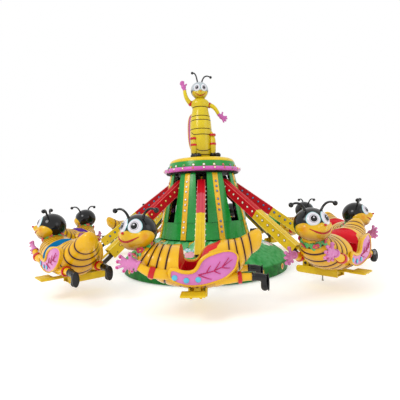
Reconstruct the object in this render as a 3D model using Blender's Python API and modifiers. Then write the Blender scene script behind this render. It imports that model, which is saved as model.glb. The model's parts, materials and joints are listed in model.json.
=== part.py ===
"""Self-control plane ride: eight bee cars on levelled lifting arms round a turning tower."""

import math

import bmesh
import bpy
from mathutils import Matrix, Vector

# Driving dimensions in metres. The tower's axis is Z and the ground is z = 0.
ARMS = 8
CAR_RADIUS = 3.60
ARM_SLOPE = math.radians(36.3)
PIVOT_RADIUS = 0.60
PIVOT_HEIGHT = 2.220
CAR_PIVOT_RADIUS = 3.00
LINK_OFFSET = 0.120
PIN_RADIUS = 0.016
HOLE_RADIUS = 0.0176
SEAT_GAP = 0.0003

ARM_REACH = CAR_PIVOT_RADIUS - PIVOT_RADIUS
ARM_LENGTH = ARM_REACH / math.cos(ARM_SLOPE)
CAR_PIVOT_HEIGHT = PIVOT_HEIGHT - ARM_REACH * math.tan(ARM_SLOPE)

PLINTH_TOP = 0.800
CLADDING_BOTTOM = 0.830
DRUM_TOP = 1.240
CLADDING_TOP = 2.440
CROWN_PLATE_BOTTOM = 2.4503
CROWN_PLATE_TOP = 2.470
CROWN_BAND_TOP = 2.740
CROWN_TOP = 2.850

# Colours as sRGB hex.
YELLOW = "#E9BC1D"
GREEN = "#1E8E2E"
DARK_GREEN = "#0F3B1C"
PINK = "#D357A8"
RED = "#C3122B"
BLACK = "#17181C"


# Scene, materials and objects

def clear_scene():
    """Remove everything that a new file starts with."""
    for thing in list(bpy.data.objects):
        bpy.data.objects.remove(thing, do_unlink=True)


def new_collection(name):
    """Add a collection to the scene."""
    collection = bpy.data.collections.new(name)
    bpy.context.scene.collection.children.link(collection)
    return collection


def linear(channel):
    """Turn one sRGB channel into a linear one."""
    if channel <= 0.04045:
        return channel / 12.92
    return ((channel + 0.055) / 1.055) ** 2.4


def material(name, hex_colour, roughness=0.3, metallic=0.0):
    """Make a Principled material from an sRGB hex colour."""
    made = bpy.data.materials.new(name)
    made.use_nodes = True
    shader = made.node_tree.nodes["Principled BSDF"]
    channels = [int(hex_colour[i:i + 2], 16) / 255 for i in (1, 3, 5)]
    shader.inputs["Base Color"].default_value = [linear(c) for c in channels] + [1]
    shader.inputs["Roughness"].default_value = roughness
    shader.inputs["Metallic"].default_value = metallic
    made.diffuse_color = [linear(c) for c in channels] + [1]
    return made


def mesh_object(name, build):
    """Run build on an empty bmesh and keep the result as an object."""
    shape = bmesh.new()
    build(shape)
    bmesh.ops.recalc_face_normals(shape, faces=shape.faces)
    mesh = bpy.data.meshes.new(name)
    shape.to_mesh(mesh)
    shape.free()
    made = bpy.data.objects.new(name, mesh)
    WORK.objects.link(made)
    return made


def baked_mesh(thing):
    """Return the mesh of an object with its modifiers applied."""
    bpy.context.view_layer.update()
    evaluated = thing.evaluated_get(bpy.context.evaluated_depsgraph_get())
    return bpy.data.meshes.new_from_object(evaluated)


def bake(thing):
    """Replace an object's mesh by its result and drop its modifiers."""
    result = baked_mesh(thing)
    thing.modifiers.clear()
    thing.data = result
    return thing


def combine(target, tools, operation):
    """Join tools to the target or cut them from it, one by one."""
    for tool in tools:
        step = target.modifiers.new(operation, "BOOLEAN")
        step.operation = operation
        step.solver = "EXACT"
        step.object = tool
        bake(target)
        bpy.data.objects.remove(tool, do_unlink=True)
    return target


def union(target, *tools):
    """Join the tools to the target."""
    return combine(target, tools, "UNION")


def cut(target, *tools):
    """Cut the tools from the target."""
    return combine(target, tools, "DIFFERENCE")


def fit_against(piece, neighbour):
    """Cut a piece back so that it sits a hair off its neighbour."""
    tool = neighbour.copy()
    tool.data = neighbour.data.copy()
    WORK.objects.link(tool)
    shape = bmesh.new()
    shape.from_mesh(tool.data)
    shape.normal_update()
    for point in shape.verts:
        point.co += point.normal * SEAT_GAP
    shape.to_mesh(tool.data)
    shape.free()
    return cut(piece, tool)


def smooth(mesh, angle=40):
    """Shade round faces smooth and keep sharp edges."""
    for face in mesh.polygons:
        face.use_smooth = True
    mesh.set_sharp_from_angle(angle=math.radians(angle))


def place(thing, finish, matrix=None, parent=None):
    """Move a finished piece to its place and into the model's collection."""
    thing.data.materials.clear()
    thing.data.materials.append(finish)
    smooth(thing.data)
    WORK.objects.unlink(thing)
    MODEL.objects.link(thing)
    if parent:
        thing.parent = parent
    if matrix:
        thing.matrix_local = matrix
    return thing


# Simple solids

def box(name, low, high):
    """Make a box between two corners."""
    low, high = Vector(low), Vector(high)
    size = high - low

    def build(shape):
        place_at = Matrix.Translation((low + high) / 2) @ Matrix.Diagonal((*size, 1))
        bmesh.ops.create_cube(shape, size=1, matrix=place_at)
    return mesh_object(name, build)


def rod(name, start, end, radius, segments=8, end_radius=None):
    """Make a round bar between two points."""
    start, end = Vector(start), Vector(end)
    way = end - start
    turn = way.to_track_quat("Z", "Y").to_matrix().to_4x4()

    def build(shape):
        bmesh.ops.create_cone(
            shape, cap_ends=True, segments=segments, radius1=radius,
            radius2=radius if end_radius is None else end_radius, depth=way.length,
            matrix=Matrix.Translation((start + end) / 2) @ turn)
    return mesh_object(name, build)


def ball(name, centre, radii, segments=7, rings=5, turn=None):
    """Make a round or oval ball."""
    def build(shape):
        matrix = Matrix.Translation(centre) @ (turn or Matrix()) @ Matrix.Diagonal((*radii, 1))
        bmesh.ops.create_uvsphere(shape, u_segments=segments, v_segments=rings, radius=1, matrix=matrix)
    return mesh_object(name, build)


def turned(name, profile, steps=32):
    """Turn a closed (radius, height) outline about the Z axis."""
    def build(shape):
        points = [shape.verts.new((r, 0, z)) for r, z in profile]
        for first, second in zip(points, points[1:]):
            shape.edges.new((first, second))
    made = mesh_object(name, build)
    screw = made.modifiers.new("turn", "SCREW")
    screw.steps = steps
    screw.render_steps = steps
    screw.use_merge_vertices = True
    screw.merge_threshold = 0.0001
    bake(made)
    return tidy(made)


def tidy(thing):
    """Merge doubled points and turn all faces outward."""
    shape = bmesh.new()
    shape.from_mesh(thing.data)
    bmesh.ops.remove_doubles(shape, verts=shape.verts, dist=0.00005)
    bmesh.ops.recalc_face_normals(shape, faces=shape.faces)
    shape.to_mesh(thing.data)
    shape.free()
    return thing


def swept(name, points, radii, resolution=2):
    """Make a tube of changing radius through the points."""
    curve = bpy.data.curves.new(name, "CURVE")
    curve.dimensions = "3D"
    curve.bevel_depth = 1
    curve.bevel_resolution = resolution
    curve.use_fill_caps = True
    spline = curve.splines.new("POLY")
    spline.points.add(len(points) - 1)
    for knot, place_at, radius in zip(spline.points, points, radii):
        knot.co = (*place_at, 1)
        knot.radius = radius
    drawn = bpy.data.objects.new(name + "_path", curve)
    WORK.objects.link(drawn)
    made = bpy.data.objects.new(name, baked_mesh(drawn))
    WORK.objects.link(made)
    bpy.data.objects.remove(drawn, do_unlink=True)
    return tidy(made)


def slab(name, outline, axis, low, high):
    """Give an outline of (y, z) points a thickness along X, or one of (x, z) points along Y."""
    def point(a, b, depth):
        return (depth, a, b) if axis == "X" else (a, depth, b)

    def build(shape):
        face = shape.faces.new([shape.verts.new(point(a, b, low)) for a, b in outline])
        grown = bmesh.ops.extrude_face_region(shape, geom=[face])
        moved = [g for g in grown["geom"] if isinstance(g, bmesh.types.BMVert)]
        offset = Vector(point(0, 0, high)) - Vector(point(0, 0, low))
        bmesh.ops.translate(shape, vec=offset, verts=moved)
    return mesh_object(name, build)


def lofted(name, places, segments=12):
    """Bridge unit circles that are laid at the given places, and close both ends."""
    def build(shape):
        rings = []
        for matrix in places:
            ring = bmesh.ops.create_circle(shape, cap_ends=False, segments=segments, radius=1, matrix=matrix)
            rings.append(ring["verts"])
        for first, second in zip(rings, rings[1:]):
            for i in range(segments):
                j = (i + 1) % segments
                shape.faces.new((first[i], first[j], second[j], second[i]))
        shape.faces.new(rings[0])
        shape.faces.new(rings[-1])
    return mesh_object(name, build)


# Fixed base

ROUND_STEPS = 32
PLINTH_PROFILE = [
    (0, PLINTH_TOP), (1.20, PLINTH_TOP), (1.30, 0.745), (1.45, 0.682), (1.66, 0.602), (1.88, 0.500),
    (2.03, 0.395), (2.13, 0.285), (2.15, 0.262), (2.14, 0.020), (2.07, 0), (0, 0)]


def make_base():
    """Round plinth that the tower turns on."""
    place(turned("base_plinth", PLINTH_PROFILE, ROUND_STEPS), GREEN_PAINT)


# Turning tower

BRACKET_GAP = 0.046
BRACKET_PLATE = 0.012
CORE_PROFILE = [
    (0, 2.45), (0.50, 2.45), (0.50, 2.43), (0.42, 2.38), (0.42, 2.10), (0.30, 2.00), (0.30, 0.90),
    (0.44, 0.86), (0.44, PLINTH_TOP + SEAT_GAP), (0, PLINTH_TOP + SEAT_GAP)]
BRACKET_OUTLINE = [(0.40, 2.12), (0.58, 2.12), (0.65, 2.18), (0.66, 2.36), (0.62, 2.40), (0.40, 2.40)]


def radial(angle_index):
    """Turn from an arm's own frame (Y outward, X along the heading) to the world."""
    return Matrix.Rotation(math.pi + 2 * math.pi * angle_index / ARMS, 4, "Z")


def turned_copy(thing, matrix):
    """Make a moved copy of a loose work object."""
    copy = thing.copy()
    copy.data = thing.data.copy()
    copy.data.transform(matrix)
    WORK.objects.link(copy)
    return copy


def pin(y, z):
    """Pivot pin held in both bracket plates."""
    reach = BRACKET_GAP + BRACKET_PLATE / 2
    return rod("pin", (-reach, y, z), (reach, y, z), PIN_RADIUS)


def make_core():
    """Column with a foot flange, a hub and eight pairs of bracket plates."""
    column = turned("tower_core", CORE_PROFILE, 16)
    plates = []
    for side in (-1, 1):
        low = side * (BRACKET_GAP + BRACKET_PLATE / 2) - BRACKET_PLATE / 2
        plates.append(slab("plate", BRACKET_OUTLINE, "X", low, low + BRACKET_PLATE))
    for height in (PIVOT_HEIGHT, PIVOT_HEIGHT + LINK_OFFSET):
        plates.append(pin(PIVOT_RADIUS, height))
    bracket = union(*plates)
    for k in range(ARMS):
        union(column, turned_copy(bracket, radial(k)))
    bpy.data.objects.remove(bracket, do_unlink=True)
    place(column, DARK_STEEL, parent=SPIN)


CLADDING_FOOT_RADIUS = 1.207
CLADDING_TAPER = 0.2265
CLADDING_WALL = 0.020
DRUM_HOLE = 0.4403
SLOT_HALF_WIDTH = 0.135
STRIP_HALF_WIDTH = 0.052
STRIP_RISE = 0.028
STRIP_SINK = 0.012


def cladding_radius(z):
    """Outer radius of the conical cladding at a height."""
    return CLADDING_FOOT_RADIUS - CLADDING_TAPER * (z - CLADDING_BOTTOM)


def make_cladding():
    """Drum and eight flaring panels with a raised light strip on each."""
    bottom, top = cladding_radius(CLADDING_BOTTOM), cladding_radius(CLADDING_TOP)
    shell = turned("tower_cladding", [
        (top - CLADDING_WALL, CLADDING_TOP), (top, CLADDING_TOP), (bottom, CLADDING_BOTTOM),
        (DRUM_HOLE, CLADDING_BOTTOM), (DRUM_HOLE, CLADDING_BOTTOM + CLADDING_WALL),
        (bottom - 0.025, CLADDING_BOTTOM + CLADDING_WALL), (top - CLADDING_WALL, CLADDING_TOP)], ROUND_STEPS)
    slot = box("slot", (-SLOT_HALF_WIDTH, 0.5, DRUM_TOP), (SLOT_HALF_WIDTH, 1.4, CLADDING_TOP + 0.1))
    slots = [turned_copy(slot, radial(k)) for k in range(ARMS)]
    bpy.data.objects.remove(slot, do_unlink=True)
    cut(shell, *slots)
    outline = [
        (bottom - STRIP_SINK, CLADDING_BOTTOM + 0.004), (bottom + STRIP_RISE, CLADDING_BOTTOM + 0.004),
        (top + STRIP_RISE, CLADDING_TOP - 0.006), (top - STRIP_SINK, CLADDING_TOP - 0.006)]
    strip = slab("strip", outline, "X", -STRIP_HALF_WIDTH, STRIP_HALF_WIDTH)
    strips = [turned_copy(strip, radial(k + 0.5)) for k in range(ARMS)]
    bpy.data.objects.remove(strip, do_unlink=True)
    union(shell, *strips)
    place(shell, GREEN_PAINT, parent=SPIN)


CROWN_PLATE_RADIUS = 0.960
RIM_RADIUS = 0.970
RIM_TUBE = 0.052
RIM_HEIGHT = CROWN_PLATE_TOP + 0.037
BAND_FOOT_RADIUS = 0.915
BAND_TOP_RADIUS = 0.870
BAND_WALL = 0.022


def make_crown():
    """Plate, pink rim and green band."""
    plate = turned("crown_plate", [
        (0, CROWN_PLATE_TOP), (CROWN_PLATE_RADIUS, CROWN_PLATE_TOP),
        (CROWN_PLATE_RADIUS, CROWN_PLATE_BOTTOM), (0, CROWN_PLATE_BOTTOM)], ROUND_STEPS)
    place(plate, UNDERSIDE_PAINT, parent=SPIN)
    rim = turned("crown_rim", [
        (RIM_RADIUS + RIM_TUBE * math.cos(a), RIM_HEIGHT + RIM_TUBE * math.sin(a))
        for a in [math.radians(60 * i) for i in range(7)]], ROUND_STEPS)
    seat_radius, seat_top, below = CROWN_PLATE_RADIUS + SEAT_GAP, CROWN_PLATE_TOP + SEAT_GAP, 2.3
    rebate = turned(
        "rebate", [(0, seat_top), (seat_radius, seat_top), (seat_radius, below), (0, below)], ROUND_STEPS)
    place(cut(rim, rebate), PINK_PAINT, parent=SPIN)
    foot = CROWN_PLATE_TOP + 2 * SEAT_GAP
    inner_top = (BAND_TOP_RADIUS - BAND_WALL, CROWN_BAND_TOP)
    band = turned("crown_band", [
        inner_top, (BAND_TOP_RADIUS, CROWN_BAND_TOP), (BAND_FOOT_RADIUS, foot),
        (BAND_FOOT_RADIUS - BAND_WALL, foot), inner_top], ROUND_STEPS)
    place(band, GREEN_PAINT, parent=SPIN)


def make_cap():
    """Rounded yellow lid of the crown."""
    low = CROWN_BAND_TOP + SEAT_GAP
    cap = turned("crown_cap", [
        (0, CROWN_TOP), (0.70, CROWN_TOP), (0.79, CROWN_TOP - 0.015), (0.84, CROWN_TOP - 0.055),
        (0.855, low), (0, low)], ROUND_STEPS)
    place(cap, YELLOW_PAINT, parent=SPIN)


# Waving figure on the crown

FIGURE_FOOT = CROWN_TOP + SEAT_GAP
FIGURE_STATIONS = [
    (FIGURE_FOOT, 0.27, 0.23), (2.95, 0.33, 0.29), (3.15, 0.35, 0.31), (3.55, 0.345, 0.30),
    (3.95, 0.31, 0.27), (4.17, 0.26, 0.23), (4.24, 0.235, 0.205), (4.29, 0.25, 0.215),
    (4.37, 0.255, 0.22), (4.43, 0.215, 0.19), (4.475, 0.15, 0.14)]


SHOE_TURN = math.radians(40)


def make_figure_body():
    """Tall rounded body with two legs and shoes that point to one side."""
    rings = [Matrix.Translation((0, 0, z)) @ Matrix.Diagonal((half_width, half_depth, 1, 1))
             for z, half_width, half_depth in FIGURE_STATIONS]
    body = tidy(lofted("figure_body", rings, 14))
    for side in (-1, 1):
        leg = swept("leg", [
            (side * 0.27, -0.16, 3.62), (side * 0.285, -0.21, 3.40), (side * 0.285, -0.22, 3.10),
            (side * 0.285, -0.22, 2.95)], [0.07, 0.085, 0.08, 0.075])
        shoe = ball("shoe", (side * 0.29 + 0.05, -0.27, 2.945), (0.09, 0.17, 0.092), 8, 6,
                    Matrix.Rotation(SHOE_TURN, 4, "Z"))
        union(body, leg, shoe)
    return place(body, YELLOW_PAINT, parent=SPIN)


HEAD_CENTRE_Z = 4.715


def make_figure_head():
    """Head with a muzzle and two feelers."""
    head = ball("figure_head", (0, 0, HEAD_CENTRE_Z), (0.228, 0.215, 0.228), 12, 8)
    neck_foot = FIGURE_STATIONS[-1][0] + SEAT_GAP
    neck = turned("neck", [(0, 4.60), (0.13, 4.60), (0.13, neck_foot), (0, neck_foot)], 12)
    muzzle = ball("muzzle", (0, -0.075, 4.645), (0.19, 0.19, 0.13), 10, 6)
    union(head, neck, muzzle)
    for side in (-1, 1):
        feeler = swept("feeler", [
            (side * 0.05, -0.02, 4.90), (side * 0.075, -0.03, 5.03), (side * 0.12, -0.04, 5.115),
            (side * 0.18, -0.05, 5.135), (side * 0.23, -0.06, 5.115)], [0.014] * 5, 0)
        knob = ball("knob", (side * 0.24, -0.06, 5.11), (0.034,) * 3, 6, 4)
        union(head, feeler, knob)
    place(head, YELLOW_PAINT, parent=SPIN)


def make_figure_arm(body, name, path, radii, palm, palm_turn, thumb):
    """Arm with a gloved hand, fitted to the body at the shoulder."""
    arm = fit_against(swept(name, path, radii), body)
    glove = ball("glove", palm, (0.085, 0.05, 0.12), 8, 6, Matrix.Rotation(math.radians(palm_turn), 4, "Y"))
    union(arm, glove, swept("thumb", [palm, thumb], [0.03, 0.022], 1))
    place(arm, YELLOW_PAINT, parent=SPIN)


def make_figure_arms(body):
    """The raised arm and the lowered one."""
    make_figure_arm(
        body, "figure_arm_raised",
        [(-0.215, 0, 4.340), (-0.262, 0, 4.375), (-0.34, -0.03, 4.46), (-0.39, -0.05, 4.58), (-0.405, -0.06, 4.70)],
        [0.07, 0.07, 0.062, 0.055, 0.05], Vector((-0.440, -0.065, 4.80)), -18, Vector((-0.36, -0.08, 4.85)))
    make_figure_arm(
        body, "figure_arm_lowered",
        [(0.215, 0, 4.355), (0.262, 0, 4.35), (0.34, -0.03, 4.31), (0.42, -0.05, 4.22), (0.485, -0.062, 4.10)],
        [0.07, 0.07, 0.062, 0.055, 0.05], Vector((0.57, -0.065, 4.03)), 122, Vector((0.55, -0.08, 4.16)))


BACK_WING_IN, BACK_WING_OUT = 0.335, 0.365


def make_figure_wings(body):
    """Two leaf-shaped wings down the figure's back, joined by the mount block that bears on the body."""
    outline = [
        (-0.06, 4.15), (-0.20, 4.18), (-0.33, 4.05), (-0.375, 3.75), (-0.35, 3.35), (-0.24, 3.12),
        (-0.10, 3.20), (-0.03, 3.60)]
    wing = slab("figure_wings", outline, "Y", BACK_WING_IN, BACK_WING_OUT)
    twin = slab("wing", [(-x, z) for x, z in outline], "Y", BACK_WING_IN, BACK_WING_OUT)
    mount = box("mount", (-0.09, 0.20, 3.72), (0.09, BACK_WING_OUT - 0.001, 4.08))
    place(union(wing, twin, fit_against(mount, body)), PINK_PAINT, parent=SPIN)


# Lifting arms

COVER_TOP = 0.162
COVER_BOTTOM = -0.058
COVER_HALF_WIDTH = 0.110
COVER_WALL = 0.006
COVER_START = 0.070
COVER_END = 2.640
BEAM_HALF_WIDTH = 0.038
BEAM_HALF_HEIGHT = 0.035
LINK_HALF_WIDTH = 0.020
LINK_HALF_HEIGHT = 0.018


def bar(name, length, half_width, half_height):
    """Bar along Y with rounded, holed eyes at y = 0 and y = length."""
    eye = HOLE_RADIUS + 0.016
    arc = [math.radians(a) for a in (-60, -20, 20, 60)]
    far = [(length + eye * math.cos(a), eye * math.sin(a)) for a in arc]
    near = [(-y + length, -z) for y, z in far]
    shoulder = eye * 0.9
    outline = [(shoulder, -half_height), (length - shoulder, -half_height), *far,
               (length - shoulder, half_height), (shoulder, half_height), *near]
    made = slab(name, outline, "X", -half_width, half_width)
    holes = [rod("hole", (-0.1, y, 0), (0.1, y, 0), HOLE_RADIUS) for y in (0, length)]
    return cut(made, *holes)


def make_arm_mesh():
    """Box beam with its inverted U cover, sloping down from the pivot."""
    beam = bar("arm", ARM_LENGTH, BEAM_HALF_WIDTH, BEAM_HALF_HEIGHT)
    width, wall = COVER_HALF_WIDTH, COVER_WALL
    section = [
        (-width, COVER_BOTTOM), (-width, COVER_TOP), (width, COVER_TOP), (width, COVER_BOTTOM),
        (width - wall, COVER_BOTTOM), (width - wall, COVER_TOP - wall),
        (-width + wall, COVER_TOP - wall), (-width + wall, COVER_BOTTOM)]
    cover = slab("cover", section, "Y", COVER_START, COVER_END)
    for y in (0.30, 1.35, 2.50):
        web = box("web", (-width + wall / 2, y, -0.028), (width - wall / 2, y + 0.03, 0.028))
        union(cover, web)
    union(beam, cover)
    beam.data.transform(Matrix.Rotation(-ARM_SLOPE, 4, "X"))
    return beam


def make_link_mesh():
    """Levelling rod, sloping down from its pivot."""
    link = bar("link", ARM_LENGTH, LINK_HALF_WIDTH, LINK_HALF_HEIGHT)
    link.data.transform(Matrix.Rotation(-ARM_SLOPE, 4, "X"))
    return link


# Car frame, in an arm's own frame with the tower's axis at y = 0

RAIL_LOW, RAIL_HIGH = 0.275, 0.415
RAIL_START, RAIL_END = 2.84, 4.00
RAIL_INNER, RAIL_OUTER = 0.120, 0.150
FLOOR_LOW, FLOOR_HIGH = 0.281, 0.293
STEP_TOP = 0.443
STEP_START, STEP_END, STEP_HALF_WIDTH = 3.93, 4.18, 0.18
DROP_ROD_CAR = 1


def make_frame_mesh():
    """Two rails, floor plate, pivot plates with pins and the boarding step on its stem."""
    outline = [
        (RAIL_START, 0.320), (2.86, 0.285), (2.90, RAIL_LOW), (RAIL_END, RAIL_LOW), (RAIL_END, RAIL_HIGH),
        (2.90, RAIL_HIGH), (2.86, 0.405), (RAIL_START, 0.370)]
    rails = [slab("rail", outline, "X", *ends)
             for ends in ((-RAIL_OUTER, -RAIL_INNER), (RAIL_INNER, RAIL_OUTER))]
    floor = box("floor", (-0.14, 2.90, FLOOR_LOW), (0.14, RAIL_END - 0.01, FLOOR_HIGH))
    frame = union(floor, *rails)
    middle = CAR_PIVOT_RADIUS
    plate_outline = [
        (middle - 0.075, 0.288), (middle + 0.075, 0.288), (middle + 0.055, 0.56), (middle + 0.035, 0.615),
        (middle - 0.035, 0.615), (middle - 0.055, 0.56)]
    for side in (-1, 1):
        low = side * (BRACKET_GAP + BRACKET_PLATE / 2) - BRACKET_PLATE / 2
        union(frame, slab("plate", plate_outline, "X", low, low + BRACKET_PLATE))
    for height in (CAR_PIVOT_HEIGHT, CAR_PIVOT_HEIGHT + LINK_OFFSET):
        union(frame, pin(middle, height))
    step = box("step", (-STEP_HALF_WIDTH, STEP_START, STEP_TOP - 0.030),
               (STEP_HALF_WIDTH, STEP_END, STEP_TOP))
    stem = box("stem", (-0.05, RAIL_END - 0.06, 0.285), (0.05, RAIL_END + 0.04, STEP_TOP - 0.010))
    union(frame, stem, step)
    frame.data.transform(Matrix.Translation((0, -CAR_PIVOT_RADIUS, -CAR_PIVOT_HEIGHT)))
    return frame


def add_drop_rod(frame):
    """Rod that hangs below one car's floor plate."""
    low, high = Vector((0, 3.32, 0.14)), Vector((0, 3.32, FLOOR_LOW + 0.006))
    to_pivot = Vector((0, CAR_PIVOT_RADIUS, CAR_PIVOT_HEIGHT))
    union(frame, rod("drop_rod", high - to_pivot, low - to_pivot, 0.013, 8))


# Bee car, with X forward, Y outward and the ground at z = 0

# Rings of the body from neck to tail: x and z of the top, x and z of the bottom, half width.
BODY_RINGS = [
    (0.780, 1.200, 0.980, 1.060, 0.165), (0.690, 1.120, 0.925, 0.890, 0.230),
    (0.655, 1.105, 0.860, 0.765, 0.292), (0.590, 1.095, 0.700, 0.600, 0.355),
    (0.420, 1.090, 0.480, 0.480, 0.395), (0.130, 1.090, 0.130, 0.412, 0.425),
    (-0.250, 1.120, -0.250, 0.418, 0.420), (-0.500, 1.148, -0.520, 0.520, 0.378),
    (-0.700, 1.180, -0.760, 0.790, 0.277), (-0.855, 1.262, -0.893, 0.930, 0.195),
    (-0.965, 1.300, -0.985, 1.005, 0.135), (-1.030, 1.220, -1.032, 1.130, 0.040)]
OPENING_OUTLINE = [
    (0.25, 1.40), (0.25, 0.775), (0.20, 0.745), (-0.02, 0.745), (-0.10, 0.790), (-0.17, 0.900),
    (-0.25, 1.010), (-0.36, 1.080), (-0.40, 1.40)]
FOOTWELL_LOW, FOOTWELL_HIGH = (-0.22, -0.28, 0.56), (0.19, 0.28, 0.80)
PANEL_OUTLINE = [
    (0.382, 0.730), (0.368, 0.777), (0.314, 0.793), (0.209, 0.755), (0.103, 0.738), (0.019, 0.763),
    (-0.068, 0.885), (-0.224, 0.993), (-0.495, 1.034), (-0.621, 0.949), (-0.574, 0.780), (-0.400, 0.637),
    (-0.116, 0.552), (0.203, 0.563), (0.320, 0.616)]
PANEL_IN, PANEL_OUT = 0.360, 0.440
HEAD_AT = Vector((0.890, 0.045, 1.320))
HEAD_TURN = math.radians(63)


def ring_place(top_x, top_z, bottom_x, bottom_z, half_width):
    """Matrix that lays a unit circle on a tilted ring of the body."""
    top, bottom = Vector((top_x, 0, top_z)), Vector((bottom_x, 0, bottom_z))
    up, side = (top - bottom).normalized(), Vector((0, 1, 0))
    turn = Matrix((up, side, up.cross(side))).transposed().to_4x4()
    half_height = (top - bottom).length / 2
    return Matrix.Translation((top + bottom) / 2) @ turn @ Matrix.Diagonal((half_height, half_width, 1, 1))


def add_bee_head(body):
    """Round head with a broad jaw, an upturned snout and two feelers, turned outward."""
    turn = Matrix.Rotation(HEAD_TURN, 4, "Z")

    def at(x, y, z):
        return HEAD_AT + turn @ Vector((x, y, z))
    skull = ball("skull", HEAD_AT, (0.250, 0.268, 0.262), 11, 7, turn)
    jaw = ball("jaw", at(0.050, 0, -0.100), (0.235, 0.290, 0.180), 11, 7, turn)
    snout = swept("snout", [at(0.10, 0, -0.085), at(0.24, 0, -0.045), at(0.335, 0, -0.005)],
                  [0.130, 0.100, 0.035], 1)
    union(body, skull, jaw, snout)
    for side in (-1, 1):
        feeler = swept("feeler", [
            at(0.03, side * 0.14, 0.20), at(0.045, side * 0.19, 0.300), at(0.05, side * 0.28, 0.348),
            at(0.055, side * 0.41, 0.332)], [0.018] * 4, 0)
        union(body, feeler, ball("knob", at(0.055, side * 0.42, 0.330), (0.038,) * 3, 6, 4))


def add_bee_limbs(body):
    """Two arms with open hands and two legs with boots; the outer arm is held higher."""
    for side in (-1, 1):
        lift = 0.0 if side > 0 else -0.12
        arm = swept("arm", [
            (0.385, side * 0.30, 0.700), (0.500, side * 0.372, 0.712 + lift / 4),
            (0.645, side * 0.395, 0.735 + lift / 2), (0.860, side * 0.380, 0.850 + lift)],
            [0.088, 0.080, 0.070, 0.050], 1)
        hand = ball("hand", (1.010, side * 0.380, 0.885 + lift), (0.165, 0.050, 0.140), 7, 5)
        leg = swept("leg", [
            (-0.280, side * 0.275, 0.605), (-0.620, side * 0.298, 0.622), (-0.960, side * 0.300, 0.625)],
            [0.100, 0.070, 0.060], 1)
        boot = ball("boot", (-1.010, side * 0.300, 0.550), (0.062, 0.066, 0.135), 7, 5)
        union(body, arm, hand, leg, boot)


def make_bee_mesh():
    """Hollow moulded bee car with its side panels, limbs and head."""
    body = lofted("bee", [ring_place(*ring) for ring in BODY_RINGS])
    cut(body, slab("opening", OPENING_OUTLINE, "Y", -0.6, 0.6))
    cut(body, box("footwell", FOOTWELL_LOW, FOOTWELL_HIGH))
    for side in (-1, 1):
        ends = sorted((side * PANEL_IN, side * PANEL_OUT))
        union(body, slab("panel", PANEL_OUTLINE, "Y", *ends))
    add_bee_limbs(body)
    add_bee_head(body)
    under = box("under", (-0.2, -0.45, 0.2), (0.2, 0.45, RAIL_HIGH + SEAT_GAP))
    cut(body, under)
    body.data.transform(Matrix.Translation((0, CAR_RADIUS - CAR_PIVOT_RADIUS, -CAR_PIVOT_HEIGHT)))
    return body


def make_cars():
    """Eight arms with their links, frames and bees, each hung on its own pivot."""
    sources = {
        "arm": (make_arm_mesh(), RED_PAINT),
        "link": (make_link_mesh(), YELLOW_PAINT),
        "car_frame": (make_frame_mesh(), YELLOW_PAINT),
        "bee": (make_bee_mesh(), YELLOW_GELCOAT)}
    for k in range(ARMS):
        lift = pivot(f"lift_pivot_{k + 1}", PIVOT_RADIUS, PIVOT_HEIGHT, k)
        sway = pivot(f"link_pivot_{k + 1}", PIVOT_RADIUS, PIVOT_HEIGHT + LINK_OFFSET, k)
        level = pivot(f"level_pivot_{k + 1}", CAR_PIVOT_RADIUS, CAR_PIVOT_HEIGHT, k)
        owners = {"arm": lift, "link": sway, "car_frame": level, "bee": level}
        for kind, (source, finish) in sources.items():
            piece = source.copy()
            piece.name = f"{kind}_{k + 1}"
            WORK.objects.link(piece)
            if kind == "car_frame" and k == DROP_ROD_CAR:
                piece.data = source.data.copy()
                add_drop_rod(piece)
            place(piece, finish, parent=owners[kind])
    for source, _ in sources.values():
        bpy.data.objects.remove(source, do_unlink=True)


def pivot(name, radius, height, k):
    """Empty on a joint's axis, turned to its arm's direction."""
    empty = bpy.data.objects.new(name, None)
    MODEL.objects.link(empty)
    empty.matrix_world = radial(k) @ Matrix.Translation((0, radius, height))
    return empty


clear_scene()
MODEL = new_collection("bee_ride")
WORK = new_collection("cutters")
GREEN_PAINT = material("green_paint", GREEN, 0.25)
UNDERSIDE_PAINT = material("underside_paint", DARK_GREEN, 0.5)
DARK_STEEL = material("dark_steel", BLACK, 0.5)
PINK_PAINT = material("pink_paint", PINK, 0.25)
YELLOW_PAINT = material("yellow_paint", YELLOW, 0.25)
YELLOW_GELCOAT = material("yellow_gelcoat", YELLOW, 0.2)
RED_PAINT = material("red_paint", RED, 0.25)
SPIN = bpy.data.objects.new("spin_axis", None)
MODEL.objects.link(SPIN)

make_base()
make_core()
make_cladding()
make_crown()
make_cap()
make_figure_head()
standing_body = make_figure_body()
make_figure_arms(standing_body)
make_figure_wings(standing_body)
make_cars()
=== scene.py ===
# %% [markdown]
# # A bee ride in cells
# This lesson dresses a small fairground ride: eight bee cars hang on lifting arms round a turning tower,
# and a ninth bee waves from the crown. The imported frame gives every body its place, so each piece here is
# modelled straight where it belongs and then told which body it moves with.

# %% Load the frame and keep its box
import json
import math

import bmesh
import bpy
import numpy as np
from mathutils import Matrix, Vector

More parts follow.
